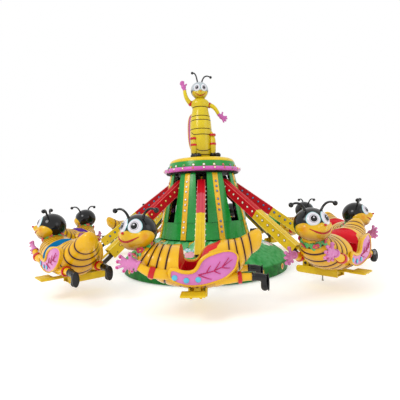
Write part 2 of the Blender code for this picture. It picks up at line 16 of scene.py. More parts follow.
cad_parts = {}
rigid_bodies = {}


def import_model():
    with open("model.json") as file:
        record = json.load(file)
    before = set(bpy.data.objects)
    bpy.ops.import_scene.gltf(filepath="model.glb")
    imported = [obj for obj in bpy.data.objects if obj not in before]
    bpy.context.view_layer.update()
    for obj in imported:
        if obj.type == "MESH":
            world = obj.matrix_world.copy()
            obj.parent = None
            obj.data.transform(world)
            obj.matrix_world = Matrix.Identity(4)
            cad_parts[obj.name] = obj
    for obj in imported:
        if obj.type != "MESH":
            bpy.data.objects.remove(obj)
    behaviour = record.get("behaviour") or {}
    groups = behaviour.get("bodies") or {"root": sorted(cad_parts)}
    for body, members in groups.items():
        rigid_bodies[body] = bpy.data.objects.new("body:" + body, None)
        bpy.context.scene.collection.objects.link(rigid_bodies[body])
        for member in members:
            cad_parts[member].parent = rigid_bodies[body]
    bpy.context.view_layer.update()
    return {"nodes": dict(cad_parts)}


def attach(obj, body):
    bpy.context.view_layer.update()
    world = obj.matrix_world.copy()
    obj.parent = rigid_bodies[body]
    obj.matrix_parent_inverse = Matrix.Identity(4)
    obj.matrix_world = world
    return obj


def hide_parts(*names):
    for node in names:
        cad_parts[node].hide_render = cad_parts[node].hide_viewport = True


for start_object in list(bpy.data.objects):
    bpy.data.objects.remove(start_object, do_unlink=True)
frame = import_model()

# %% [markdown]
# ## Sizes that everything shares
# The ride is built from a few numbers: eight arms, the circle that the cars hang on and the slope of the
# arms at rest. A car has its own small frame, X forward and Y outward, which makes one bee serve all eight.

# %% Name the driving sizes
ARMS = 8
CAR_CIRCLE = 3.60
ARM_SLOPE = math.radians(36.3)
PIVOT_RADIUS, PIVOT_HEIGHT = 0.60, 2.220
CAR_PIVOT_RADIUS = 3.00
ARM_LENGTH = (CAR_PIVOT_RADIUS - PIVOT_RADIUS) / math.cos(ARM_SLOPE)
CLADDING_LOW, CLADDING_HIGH = 0.830, 2.440


def arm_turn(index):
    """Turn from an arm's own frame, with Y outward, to the world."""
    return Matrix.Rotation(math.pi + 2 * math.pi * index / ARMS, 4, "Z")


def car_place(index):
    """Place of a car's own frame in the world."""
    return arm_turn(index) @ Matrix.Translation((0, CAR_CIRCLE, 0))


def arm_place(index):
    """Place of an arm's own frame: Y runs down the sloping beam from its pivot."""
    return arm_turn(index) @ Matrix.Translation((0, PIVOT_RADIUS, PIVOT_HEIGHT)) @ Matrix.Rotation(
        -ARM_SLOPE, 4, "X")


# %% [markdown]
# ## Small tools for shapes
# Most of the ride is rounded fibreglass, so one tool does most of the work: it sets rings along a path and
# bridges them into a skin. A second one draws a smooth curve through a few points, because a maker also
# gives only a few points and lets the material find its way between them.

# %% Draw smooth curves through points
def smooth_path(points, steps, closed=False):
    """Pass a Catmull-Rom curve through points of any width, with a number of steps between each two."""
    rows = [np.array(point, dtype=float) for point in points]
    count = len(rows)
    drawn = []
    for i in range(count if closed else count - 1):
        if closed:
            before, start, end, after = (rows[(i + k) % count] for k in (-1, 0, 1, 2))
        else:
            before, start = rows[max(i - 1, 0)], rows[i]
            end, after = rows[i + 1], rows[min(i + 2, count - 1)]
        for step in range(steps):
            t = step / steps
            drawn.append(0.5 * (2 * start + (end - before) * t
                                + (2 * before - 5 * start + 4 * end - after) * t ** 2
                                + (3 * start - before - 3 * end + after) * t ** 3))
    if not closed:
        drawn.append(rows[-1])
    return drawn


# %% Bridge rings into a skin
def ring_edges(shape, place, segments):
    """Add a unit circle at a place and return its edges."""
    ring = bmesh.ops.create_circle(shape, cap_ends=False, radius=1, segments=segments, matrix=place)
    return list({edge for corner in ring["verts"] for edge in corner.link_edges})


def bridged(shape, places, segments, closed=False):
    """Set unit circles at the given places and bridge each one to the next."""
    rings = [ring_edges(shape, place, segments) for place in places]
    pairs = list(zip(rings, rings[1:]))
    if closed:
        pairs.append((rings[-1], rings[0]))
    for first, second in pairs:
        bmesh.ops.bridge_loops(shape, edges=first + second)
    if not closed:
        for ring in (rings[0], rings[-1]):
            bmesh.ops.contextual_create(shape, geom=ring)


def banded(shape, rings, segments):
    """Skin a row of (place, slot) circles, close its first end and return the last circle's edges."""
    last = None
    for place, slot in rings:
        edges = ring_edges(shape, place, segments)
        if last:
            faces = bmesh.ops.bridge_loops(shape, edges=last + edges)["faces"]
        else:
            faces = bmesh.ops.contextual_create(shape, geom=edges)["faces"]
        for face in faces:
            face.material_index = slot
        last = edges
    return last


def tube(shape, rows, segments=12, closed=False):
    """Sweep a circle along rows of (x, y, z, radius), keeping it square to the path."""
    points = [Vector(row[:3]) for row in rows]
    count = len(points)
    places = []
    side = None
    for i, point in enumerate(points):
        if closed:
            way = points[(i + 1) % count] - points[i - 1]
        else:
            way = points[min(i + 1, count - 1)] - points[max(i - 1, 0)]
        way.normalize()
        if side is None:
            side = way.orthogonal() if abs(way.z) > 0.95 else way.cross(Vector((0, 0, 1)))
        side = (side - way * side.dot(way)).normalized()
        up = way.cross(side)
        turn = Matrix((side, up, way)).transposed().to_4x4()
        radius = rows[i][3]
        places.append(Matrix.Translation(point) @ turn @ Matrix.Diagonal((radius, radius, 1, 1)))
    bridged(shape, places, segments, closed)


def ball(shape, centre, radii, segments=24, rings=16, turn=Matrix()):
    """Add an oval ball."""
    place = Matrix.Translation(centre) @ turn @ Matrix.Diagonal((*radii, 1))
    return bmesh.ops.create_uvsphere(shape, u_segments=segments, v_segments=rings, radius=1, matrix=place)


def block(shape, low, high, bevel=0.0, segments=2):
    """Add a box between two corners, with its edges rounded if asked."""
    low, high = Vector(low), Vector(high)
    place = Matrix.Translation((low + high) / 2) @ Matrix.Diagonal((*(high - low), 1))
    made = bmesh.ops.create_cube(shape, size=1, matrix=place)
    if bevel:
        edges = list({edge for corner in made["verts"] for edge in corner.link_edges})
        bmesh.ops.bevel(shape, geom=edges, offset=bevel, segments=segments, profile=0.5, affect="EDGES",
                        material=-1)


def rod(shape, place, radius, length, segments, tip=None):
    """Add a closed cylinder along the Z axis of a place, or a cone if its tip has another radius."""
    bmesh.ops.create_cone(shape, cap_ends=True, segments=segments, radius1=radius,
                          radius2=radius if tip is None else tip, depth=length, matrix=place)


def crossways(y, z=0.0):
    """Place whose Z axis lies along X, for pins and eyes."""
    return Matrix.Translation((0, y, z)) @ Matrix.Rotation(math.pi / 2, 4, "Y")


# %% [markdown]
# ## From shape to piece
# A finished shape becomes a mesh, modifiers are applied once, and the object stays at the origin with its
# place in its mesh. Shapes of different colours share one object through material slots, as paint and
# trim share one moulding on the real car.

# %% Turn shapes into meshes and pieces
def mesh_from(build, *modifiers, outward=True):
    """Run build on an empty bmesh and return the mesh with the modifiers applied."""
    shape = bmesh.new()
    build(shape)
    if outward:
        bmesh.ops.recalc_face_normals(shape, faces=shape.faces)
    mesh = bpy.data.meshes.new("work")
    shape.to_mesh(mesh)
    shape.free()
    if not modifiers:
        return mesh
    holder = bpy.data.objects.new("work", mesh)
    bpy.context.scene.collection.objects.link(holder)
    for kind, settings in modifiers:
        modifier = holder.modifiers.new(kind, kind)
        for key, value in settings.items():
            setattr(modifier, key, value)
    bpy.context.view_layer.update()
    result = bpy.data.meshes.new_from_object(holder.evaluated_get(bpy.context.evaluated_depsgraph_get()))
    bpy.data.objects.remove(holder, do_unlink=True)
    return result


def fused(build, voxel, rounds):
    """Mesh of lumps that a voxel remesh fuses and some rounds of smoothing even out."""
    return mesh_from(build, ("REMESH", {"mode": "VOXEL", "voxel_size": voxel}),
                     ("SMOOTH", {"factor": 0.5, "iterations": rounds}))


def joined(parts):
    """Join (mesh, material index) pairs into one mesh."""
    shape = bmesh.new()
    for mesh, index in parts:
        known = len(shape.faces)
        shape.from_mesh(mesh)
        shape.faces.ensure_lookup_table()
        if index is not None:
            for face in shape.faces[known:]:
                face.material_index = index
    mesh = bpy.data.meshes.new("joined")
    shape.to_mesh(mesh)
    shape.free()
    return mesh


def give_values(mesh, name, values, kind="FLOAT"):
    """Store one value for each point under a name that materials can read."""
    layer = mesh.attributes.get(name) or mesh.attributes.new(name, kind, "POINT")
    layer.data.foreach_set("value" if kind == "FLOAT" else "vector", np.asarray(values, dtype=float).ravel())


def points_of(mesh):
    """All points of a mesh as rows of x, y, z."""
    flat = np.empty(len(mesh.vertices) * 3)
    mesh.vertices.foreach_get("co", flat)
    return flat.reshape(-1, 3)


def keep_own_places(mesh):
    """Remember where each point lies in the piece's own frame."""
    give_values(mesh, "own", points_of(mesh), "FLOAT_VECTOR")


made_pieces = []


def piece(name, mesh, materials, body, place=None, stands_for=(), sharp=35):
    """Put a mesh in the scene as a named piece that moves with a body."""
    if place is not None:
        mesh = mesh.copy()
        mesh.transform(place)
    mesh.name = name
    slots = np.empty(len(mesh.polygons), dtype=np.int32)
    mesh.polygons.foreach_get("material_index", slots)
    mesh.materials.clear()
    for finish in materials:
        mesh.materials.append(finish)
    mesh.polygons.foreach_set("material_index", slots)
    mesh.shade_smooth()
    mesh.set_sharp_from_angle(angle=math.radians(sharp))
    made = bpy.data.objects.new(name, mesh)
    bpy.context.scene.collection.objects.link(made)
    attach(made, body)
    if stands_for:
        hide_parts(*stands_for)
    made_pieces.append(made)
    return made


def triangles(mesh):
    """Count the triangles of a mesh."""
    return sum(len(face.vertices) - 2 for face in mesh.polygons)

# %% [markdown]
# ## Finishes
# The real ride is moulded fibreglass with a sprayed gelcoat, airbrushed by hand and waxed, on a frame of
# enamelled steel. Each finish starts from typical values of its material and is then matched. One
# function turns a paint shop's hex colour into Blender's linear light, another adds a node.

# %% Colour and node helpers
BUMP_DEPTH = 0.002


def linear_colour(code):
    """Turn an sRGB hex colour into linear RGBA."""
    channels = [int(code[i:i + 2], 16) / 255 for i in (1, 3, 5)]
    return [c / 12.92 if c <= 0.04045 else ((c + 0.055) / 1.055) ** 2.4 for c in channels] + [1.0]


def node(tree, kind, settings=None, links=None):
    """Add a node, set its fields or sockets, and link sockets from other nodes' outputs."""
    made = tree.nodes.new("ShaderNode" + kind)
    for key, value in (settings or {}).items():
        if isinstance(key, str) and hasattr(made, key):
            setattr(made, key, value)
        else:
            made.inputs[key].default_value = value
    for key, source in (links or {}).items():
        tree.links.new(source, made.inputs[key])
    return made


def new_finish(name, **shader_values):
    """Start a material and set plain values on its shader."""
    made = bpy.data.materials.new(name)
    made.use_nodes = True
    shader = made.node_tree.nodes["Principled BSDF"]
    for key, value in shader_values.items():
        shader.inputs[key.replace("_", " ")].default_value = value
    return made, made.node_tree, shader


def places(tree, own):
    """Coordinates in metres: the piece's own stored places, or the object's."""
    if own:
        return node(tree, "Attribute", {"attribute_name": "own"}).outputs["Vector"]
    return node(tree, "TexCoord").outputs["Object"]


def mixed(tree, first, second, factor):
    """Mix two colours, each a hex code or a socket, by a socket or a number."""
    made = node(tree, "Mix", {"data_type": "RGBA"})
    for slot, source in ((6, first), (7, second), (0, factor)):
        if isinstance(source, str):
            made.inputs[slot].default_value = linear_colour(source)
        elif isinstance(source, (int, float)):
            made.inputs[slot].default_value = source
        else:
            tree.links.new(source, made.inputs[slot])
    return made.outputs[2]


def ranged(tree, value, low, high, to_low=0.0, to_high=1.0):
    """Map a socket's value from one range to another."""
    return node(tree, "MapRange", {"From Min": low, "From Max": high, "To Min": to_low, "To Max": to_high},
                {"Value": value}).outputs["Result"]


def noise(tree, spot, scale, detail=3.0):
    """Noise with a number of cells in each metre."""
    return node(tree, "TexNoise", {"Scale": scale, "Detail": detail}, {"Vector": spot}).outputs["Fac"]


def dress(tree, shader, spot, colour, roughness, bump):
    """Link a colour, a patchy roughness (cells, least, most) and a bump (cells, detail, strength)."""
    tree.links.new(colour, shader.inputs["Base Color"])
    cells, least, most = roughness
    tree.links.new(ranged(tree, noise(tree, spot, cells), 0.3, 0.7, least, most), shader.inputs["Roughness"])
    cells, detail, strength = bump
    made = node(tree, "Bump", {"Strength": strength, "Distance": BUMP_DEPTH},
                {"Height": noise(tree, spot, cells, detail)})
    tree.links.new(made.outputs["Normal"], shader.inputs["Normal"])


# %% [markdown]
# ### Gelcoat
# Sprayed gelcoat is a coloured polyester skin, waxed out of a mould: deep gloss, a faint orange peel a few
# millimetres across, and here a darker colour in the folds and low down, partly airbrushed shading and partly
# painted shade. Polyester has an IOR of about 1.53.

# %% Make gelcoat finishes
PEEL_CELLS, PEEL = 160.0, 0.05
MOTTLE_CELLS = 3.5


def gelcoat(name, colour, shade, own=True, roughness=0.2, shade_from=None, soft=0.25, blush_and_reflection=None, gloss=0.32):
    """Waxed gelcoat mottled towards a shade colour in patches, and darkened to it where an attribute of
    painted shade says.
    """
    made, tree, shader = new_finish(name, IOR=1.53, Coat_Weight=0.35 * gloss, Coat_Roughness=0.06,
                                    Specular_IOR_Level=gloss)
    spot = places(tree, own)
    base = mixed(tree, colour, shade, ranged(tree, noise(tree, spot, MOTTLE_CELLS), 0.35, 0.75, 0.0, soft))
    # The first attribute holds painted shade; the second holds the cheek blush and, on the standing bee's
    # skull, a painted reflection.
    for attribute, paint in ((shade_from, shade), ("blush_and_reflection", blush_and_reflection)):
        if attribute and paint:
            stored = node(tree, "Attribute", {"attribute_name": attribute}).outputs["Fac"]
            base = mixed(tree, base, paint, stored)
    dress(tree, shader, spot, base, (22.0, roughness - 0.05, roughness + 0.08), (PEEL_CELLS, 2.0, PEEL))
    return made


# %% [markdown]
# ### Enamelled steel
# Arms and frames are mild steel under brushed and sprayed enamel. It is a little duller than gelcoat, has
# brush marks along the bar, and is rubbed dull and dusty where shoes and rain reach it.

# %% Make enamel finishes
DUST = "#6E5A3A"


def enamel(name, colour, shade, roughness=0.3, wear=0.15, gloss=0.28):
    """Brushed enamel on steel with dusty patches."""
    made, tree, shader = new_finish(name, IOR=1.5, Coat_Weight=0.05, Coat_Roughness=0.12,
                                    Specular_IOR_Level=gloss)
    spot = places(tree, False)
    base = mixed(tree, colour, shade, ranged(tree, noise(tree, spot, 5.0), 0.3, 0.7, 0.0, 0.45))
    marks = ranged(tree, noise(tree, spot, 38.0, 6.0), 0.58, 0.72, 0.0, wear)
    dress(tree, shader, spot, mixed(tree, base, DUST, marks), (30.0, roughness - 0.05, roughness + 0.15),
          (90.0, 3.0, 0.08))
    return made


# %% [markdown]
# ### Lamp caps
# The light caps are moulded from clear-tinted acrylic over a small lamp. They let some light in, so they
# look brighter than paint even when they are off. Acrylic has an IOR of 1.49.

# %% Make lamp cap finishes
def lamp_cap(name, colour):
    """Tinted acrylic dome with a soft inner glow."""
    made, tree, shader = new_finish(name, IOR=1.49, Roughness=0.12, Transmission_Weight=0.15,
                                    Emission_Strength=0.12)
    shader.inputs["Emission Color"].default_value = linear_colour(colour)
    spot = places(tree, False)
    pale = mixed(tree, colour, "#FFFFFF", ranged(tree, noise(tree, spot, 60.0), 0.3, 0.8, 0.0, 0.35))
    tree.links.new(pale, shader.inputs["Base Color"])
    return made


# %% Name every finish of the ride
YELLOW = gelcoat("yellow_gelcoat", "#DFAC0A", "#9A5A06", shade_from="painted_shade", soft=0.22)
FACE = gelcoat("yellow_face_gelcoat", "#D9AC06", "#7E4604", shade_from="painted_shade", soft=0.22, blush_and_reflection="#C2500E")
GROOVE = gelcoat("brown_line_paint", "#360A06", "#1C0504", roughness=0.4)
BLACK = gelcoat("black_gelcoat", "#030304", "#0C0D11", roughness=0.16, soft=0.5)
WHITE = gelcoat("white_eye_gelcoat", "#DCDADF", "#B9B1C2", roughness=0.12, soft=0.5)
PALE_BLUE = gelcoat("pale_blue_eye_edge", "#A6D6D8", "#86C2CA", roughness=0.12)
GREY = gelcoat("grey_eye_ring", "#57545C", "#2E2C33", roughness=0.15)
RED = gelcoat("red_gelcoat", "#BE0812", "#7A060C", roughness=0.2, soft=0.4)
LIP = gelcoat("lip_red_paint", "#A31410", "#6E0B0A", roughness=0.25)
PINK = gelcoat("pink_wing_gelcoat", "#CE74B4", "#A4508E", roughness=0.2, soft=0.5)
MAGENTA = gelcoat("magenta_paint", "#B80C58", "#840A46", roughness=0.25)
GLOVE = gelcoat("pink_glove_gelcoat", "#CC78AE", "#9C4E88", roughness=0.22, soft=0.45)
DOT_BLUE = gelcoat("pale_blue_dot_paint", "#58B4D0", "#2E8CB4", roughness=0.22, soft=0.6)
LEAF = gelcoat("collar_leaf_paint", "#2E9A3F", "#7CC98A", roughness=0.25, soft=0.9)
ROSE = gelcoat("collar_flower_paint", "#B3152B", "#D8557A", roughness=0.25, soft=0.8)
RUBBER = gelcoat("black_boot_gelcoat", "#030304", "#0B0B0D", roughness=0.24, soft=0.6)
SEATS = {name: gelcoat(f"{name}_seat_gelcoat", colour, shade, roughness=0.4, soft=0.4, gloss=0.1)
         for name, colour, shade in (("red", "#D00A1E", "#A00814"), ("blue", "#128CC4", "#0A5688"),
                                     ("purple", "#6A3BA5", "#43216F"), ("green", "#1FA04A", "#0C6A2C"))}
SEAT_COLOURS = ["red", "red", "red", "green", "blue", "purple", "purple", "blue"]
print(len(bpy.data.materials), "finishes for the bees")

# %% [markdown]
# ## The bee's body
# The car body is one hollow moulding: a fat belly that bends up into the neck in front and into the tail
# behind. Rings drawn in a row make it. Each ring is given by its top point, its bottom point and half its
# width, which are easy to read from a side view. The dark lines are real grooves, so three tight rings
# make each one, and the darker colour beside a groove, partly sprayed shading and partly painted shade, is
# stored as a value on the points.

# %% Give the rings of the body
BODY_SEGMENTS = 48
GROOVE_HALF_WIDTH, GROOVE_DEPTH, SEGMENT_BULGE = 0.014, 0.011, 0.016
# x and z of the ring's top, x and z of its bottom, half width, and whether a groove runs there.
BODY_RINGS = [
    (0.780, 1.200, 0.985, 1.060, 0.165, 0), (0.755, 1.177, 0.972, 1.005, 0.182, 0),
    (0.715, 1.150, 0.945, 0.916, 0.222, 1), (0.655, 1.126, 0.893, 0.800, 0.290, 1),
    (0.600, 1.110, 0.785, 0.668, 0.345, 1), (0.513, 1.096, 0.640, 0.558, 0.376, 1),
    (0.393, 1.090, 0.495, 0.490, 0.398, 1), (0.190, 1.090, 0.245, 0.430, 0.418, 1),
    (0.100, 1.090, 0.100, 0.412, 0.425, 1), (0.000, 1.090, 0.000, 0.409, 0.425, 1),
    (-0.120, 1.100, -0.120, 0.410, 0.423, 1), (-0.250, 1.120, -0.250, 0.420, 0.417, 0),
    (-0.380, 1.140, -0.385, 0.446, 0.405, 0), (-0.500, 1.148, -0.520, 0.520, 0.375, 1),
    (-0.600, 1.153, -0.660, 0.660, 0.330, 1), (-0.700, 1.180, -0.760, 0.790, 0.275, 1),
    (-0.812, 1.240, -0.855, 0.905, 0.215, 1), (-0.900, 1.285, -0.930, 0.955, 0.175, 0),
    (-0.965, 1.300, -0.985, 1.005, 0.130, 0), (-1.012, 1.275, -1.018, 1.090, 0.080, 0),
    (-1.030, 1.215, -1.031, 1.150, 0.030, 0)]


def ring_place(row, grow=1.0, sink=0.0):
    """Matrix that lays a unit circle on a body ring, grown by a share and sunk by a depth."""
    top, bottom = Vector((row[0], 0, row[1])), Vector((row[2], 0, row[3]))
    up = (top - bottom).normalized()
    side = Vector((0, 1, 0))
    turn = Matrix((up, side, up.cross(side))).transposed().to_4x4()
    high = (top - bottom).length / 2 * grow - sink
    wide = row[4] * grow - sink
    return Matrix.Translation((top + bottom) / 2) @ turn @ Matrix.Diagonal((high, wide, 1, 1))


def body_rings():
    """Rings of the body in order: (matrix, whether the band before it is groove paint)."""
    steps = 5
    drawn = smooth_path([row[:5] for row in BODY_RINGS], steps)
    rings = []
    for i, row in enumerate(drawn):
        knot, step = divmod(i, steps)
        if step == 0 and BODY_RINGS[knot][5]:
            for share, sink, dark in ((-1, 0.0, 0), (0, GROOVE_DEPTH, 1), (1, 0.0, 1)):
                near = drawn[i + 1] if share > 0 else drawn[i - 1]
                gap = np.linalg.norm((near - row)[:4])
                moved = row + (near - row) * abs(share) * GROOVE_HALF_WIDTH / gap * 1.4
                rings.append((ring_place(moved, 1.0, sink), dark))
        else:
            bulge = 1 + SEGMENT_BULGE * math.sin(math.pi * step / steps)
            rings.append((ring_place(row, bulge), 0))
    return rings


def build_body(shape):
    """Skin all body rings and close both ends."""
    bmesh.ops.contextual_create(shape, geom=banded(shape, body_rings(), BODY_SEGMENTS))


# %% [markdown]
# The seat is cut out of the moulding as the real mould leaves it: a saddle-shaped gap through both sides
# and a well for the legs. Boolean cutters do it, and their faces bring the seat's colour with them.

# %% Cut the seat
SADDLE = [
    (0.250, 1.300), (0.250, 0.830), (0.235, 0.775), (0.190, 0.745), (0.080, 0.735), (0.000, 0.748),
    (-0.050, 0.800), (-0.075, 0.905), (-0.110, 0.985), (-0.170, 1.045), (-0.310, 1.091), (-0.380, 1.125),
    (-0.385, 1.300)]
# The same points where the gap leaves the body's sides: the seat's back falls away there.
SIDE_SADDLE = SADDLE[:5] + [
    (0.000, 0.745), (-0.060, 0.790), (-0.100, 0.880), (-0.150, 0.945), (-0.228, 0.992), (-0.335, 1.015),
    (-0.385, 1.065), (-0.390, 1.300)]
SEAT_BACK_HALF, SEAT_SIDE = 0.150, 0.420
SEAT_SLOT = 2
# Foot well and bench: two corners of the box that is cut away, and the roundness of its edges.
SEAT_CUTS = [((-0.050, -0.345, 0.560), (0.225, 0.345, 0.900), 0.045),
             ((-0.115, -0.345, 0.690), (0.020, 0.345, 0.900), 0.040)]


def prism(shape, outline, low, high, across=False):
    """Extrude an (x, z) outline along Y, or a (y, z) outline across, along X."""
    corners = [shape.verts.new((low, a, z) if across else (a, low, z)) for a, z in outline]
    face = shape.faces.new(corners)
    grown = bmesh.ops.extrude_face_region(shape, geom=[face])
    moved = [part for part in grown["geom"] if isinstance(part, bmesh.types.BMVert)]
    way = (high - low, 0, 0) if across else (0, high - low, 0)
    bmesh.ops.translate(shape, vec=way, verts=moved)


def lofted(shape, sections):
    """Skin a row of (y, outline) sections and close both ends."""
    last = None
    for y, outline in sections:
        corners = [shape.verts.new((x, y, z)) for x, z in outline]
        edges = [shape.edges.new(pair) for pair in zip(corners, corners[1:] + corners[:1])]
        if last:
            bmesh.ops.bridge_loops(shape, edges=last + edges)
        else:
            bmesh.ops.contextual_create(shape, geom=edges)
        last = edges
    bmesh.ops.contextual_create(shape, geom=last)


def combined(mesh, tool, operation, tool_slot=None):
    """Cut, join or intersect a mesh with a tool mesh, whose faces may bring their own slot."""
    things = []
    for data in (mesh, tool):
        while len(data.materials) < 4:
            data.materials.append(None)
        holder = bpy.data.objects.new("work", data)
        bpy.context.scene.collection.objects.link(holder)
        things.append(holder)
    if tool_slot is not None:
        tool.polygons.foreach_set("material_index", [tool_slot] * len(tool.polygons))
    step = things[0].modifiers.new("cut", "BOOLEAN")
    step.operation, step.solver, step.object = operation, "EXACT", things[1]
    bpy.context.view_layer.update()
    graph = bpy.context.evaluated_depsgraph_get()
    result = bpy.data.meshes.new_from_object(things[0].evaluated_get(graph))
    for thing in things:
        bpy.data.objects.remove(thing, do_unlink=True)
    return result


def make_body_mesh():
    """Body with its saddle, foot well and bench cut out."""
    sections = [(-0.6, SIDE_SADDLE), (-SEAT_SIDE, SIDE_SADDLE), (-SEAT_BACK_HALF, SADDLE)]
    sections += [(-y, outline) for y, outline in reversed(sections)]
    saddle = mesh_from(lambda shape: lofted(shape, sections))
    body = combined(mesh_from(build_body), saddle, "DIFFERENCE", SEAT_SLOT)
    for low, high, bevel in SEAT_CUTS:
        cutter = mesh_from(lambda shape: block(shape, low, high, bevel, 4))
        body = combined(body, cutter, "DIFFERENCE", SEAT_SLOT)
    return body


# %% [markdown]
# Beside each groove the colour is darker, partly the real airbrushed shading and partly painted shade in the
# crease, and low on the belly it is painted shade. How much of it a point has is stored on the mesh, and the
# finish reads it there.

# %% Paint shade on the body
def paint_body_shade(mesh):
    """Store how much darkening each point has: sprayed and painted shade beside grooves, painted shade low on
    the belly.
    """
    spots = points_of(mesh)
    shade = np.zeros(len(spots))
    # Beside each groove: partly sprayed shading, partly painted shade in the crease.
    for row in BODY_RINGS:
        if row[5]:
            top, bottom = np.array(row[:2]), np.array(row[2:4])
            along = (bottom - top) / np.linalg.norm(bottom - top)
            away = np.array([-along[1], along[0]])
            far = np.abs((spots[:, [0, 2]] - top) @ away)
            shade = np.maximum(shade, 0.6 * np.exp(-(far / 0.026) ** 2))
    # Painted shade: darker towards the bottom of the belly.
    belly = np.clip((0.78 - spots[:, 2]) / 0.38, 0, 1) * 0.55
    give_values(mesh, "painted_shade", np.clip(shade + belly, 0, 1))


body_mesh = make_body_mesh()
paint_body_shade(body_mesh)
keep_own_places(body_mesh)
print("bee body", triangles(body_mesh), "triangles")

# %% [markdown]
# ## The wings on its sides
# Each side carries a folded wing as a raised panel: a pink field with magenta veins and pale blue spots,
# inside a fat rolled edge that also tops the side of the seat. A prism of the outline is cut out of a
# curved slab, so the field follows the body, and a tube runs round it.

# %% Model the wing panels
WING_OUTLINE = [
    (0.382, 0.730), (0.368, 0.777), (0.314, 0.793), (0.209, 0.755), (0.103, 0.741), (0.019, 0.763),
    (-0.030, 0.815), (-0.068, 0.885), (-0.129, 0.948), (-0.224, 0.993), (-0.366, 1.025), (-0.495, 1.034),
    (-0.576, 1.008), (-0.621, 0.949), (-0.612, 0.873), (-0.574, 0.780), (-0.496, 0.700), (-0.400, 0.637),
    (-0.270, 0.593), (-0.116, 0.552), (0.050, 0.540), (0.203, 0.563), (0.320, 0.616), (0.372, 0.676)]
WING_VEINS = [
    [(-0.038, 0.703), (-0.169, 0.730), (-0.264, 0.757), (-0.383, 0.808), (-0.454, 0.853), (-0.538, 0.910)],
    [(-0.164, 0.740), (-0.194, 0.795), (-0.225, 0.834)], [(-0.276, 0.765), (-0.325, 0.832), (-0.362, 0.890)],
    [(-0.389, 0.812), (-0.443, 0.877), (-0.492, 0.940)], [(-0.264, 0.757), (-0.310, 0.733), (-0.362, 0.714)],
    [(-0.382, 0.805), (-0.441, 0.792), (-0.505, 0.790)], [(-0.038, 0.703), (-0.143, 0.660), (-0.230, 0.635)]]
WING_SPOTS = [(0.307, 0.668), (0.136, 0.625), (-0.036, 0.633)]
WING_EDGE_FAT, WING_EDGE_THIN = 0.028, 0.014


def wing_depth(x, z):
    """How far out the wing's field lies, following the belly."""
    return 0.443 - 0.30 * (z - 0.74) ** 2 - 0.10 * max(-x - 0.30, 0) ** 2 * 4


def edge_radius(x, z):
    """The rolled edge is fat along the seat and thin elsewhere."""
    beside_seat = min(max((x + 0.40) / 0.15, 0), 1) * min(max((z - 0.68) / 0.05, 0), 1)
    return WING_EDGE_THIN + (WING_EDGE_FAT - WING_EDGE_THIN) * beside_seat


def bend_to_wing(mesh, base=0.0):
    """Lay a flat mesh, whose y is its height, on the wing's field."""
    for point in mesh.vertices:
        point.co.y += wing_depth(point.co.x, point.co.z) + base
    return mesh


def wing_parts():
    """Wing of the outer side, with slots: 0 field, 1 yellow, 2 veins, 3 spots, 4 the seat's inner side."""
    outline = [tuple(point) for point in smooth_path(WING_OUTLINE, 4, closed=True)]

    def sheet(shape, thickness):
        bmesh.ops.create_grid(shape, x_segments=42, y_segments=22, size=1, matrix=(
            Matrix.Translation((-0.12, 0, 0.79)) @ Matrix.Rotation(math.pi / 2, 4, "X")
            @ Matrix.Diagonal((0.56, 0.30, 1, 1))))
        bmesh.ops.solidify(shape, geom=shape.faces[:], thickness=thickness)

    def cut_sheet(thickness, outer):
        flat = mesh_from(lambda shape: sheet(shape, thickness))
        bent = bend_to_wing(flat, outer - max(point.co.y for point in flat.vertices))
        return combined(bent, mesh_from(lambda shape: prism(shape, outline, 0.2, 0.6)), "INTERSECT")
    field, backing = cut_sheet(0.010, -0.008), cut_sheet(0.045, -0.0185)
    for face in backing.polygons:
        face.material_index = 4 if face.normal.y < -0.5 else 1
    edge_rows = [(x, wing_depth(x, z) - 0.006, z, edge_radius(x, z)) for x, z in outline]
    edge = mesh_from(lambda shape: tube(shape, edge_rows, 12, closed=True))

    def veins(shape):
        for line in WING_VEINS:
            rows = smooth_path(line, 5)
            for i, (x, z) in enumerate(rows):
                rows[i] = (x, wing_depth(x, z) + 0.001, z, 0.0085 * (1 - 0.6 * i / len(rows)))
            tube(shape, rows, 6)

    def spots(shape):
        for x, z in WING_SPOTS:
            ball(shape, (x, wing_depth(x, z) + 0.001, z), (0.043, 0.008, 0.042), 20, 8)
    return [(field, 0), (backing, None), (edge, 1), (mesh_from(veins), 2), (mesh_from(spots), 3)]


def mirrored(mesh):
    """Copy of a mesh on the other side of the bee, with its faces turned outward again."""
    copy = mesh.copy()
    copy.transform(Matrix.Diagonal((1, -1, 1, 1)))
    copy.flip_normals()
    return copy


one_wing = joined(wing_parts())
wing_mesh = joined([(one_wing, None), (mirrored(one_wing), None)])
# Painted shade: the wings grow darker towards the bottom.
give_values(wing_mesh, "painted_shade", np.clip((0.75 - points_of(wing_mesh)[:, 2]) / 0.4, 0, 1) * 0.35)
keep_own_places(wing_mesh)
print("wings", triangles(wing_mesh), "triangles")

# %% [markdown]
# ## The head
# A black ball for the skull, and in front of it a broad cheerful jaw with a turned-up nose. The jaw is
# built as a sculptor would: balls and a tapered snout are pushed together, fused by a voxel remesh and
# smoothed. The head has its own frame, X towards the nose, Y to its left and Z up.

# %% Shape skull and jaw
SKULL = (0.284, 0.296, 0.272)
SKULL_BACK = 0.028
JAW_VOXEL = 0.0145


def build_jaw(shape):
    """Push the lumps of the jaw together."""
    ball(shape, (0.045, 0, -0.095), (0.260, 0.285, 0.190), 32, 20)
    for side in (-1, 1):
        ball(shape, (0.040, side * 0.170, -0.060), (0.185, 0.140, 0.135), 24, 16)
    ball(shape, (0.130, 0, -0.165), (0.150, 0.175, 0.115), 24, 16)
    tube(shape, [(0.12, 0, -0.085, 0.128), (0.20, 0, -0.065, 0.113), (0.26, 0, -0.042, 0.088),
                 (0.30, 0, -0.022, 0.066), (0.325, 0, -0.010, 0.045), (0.340, 0, -0.002, 0.026)], 20)


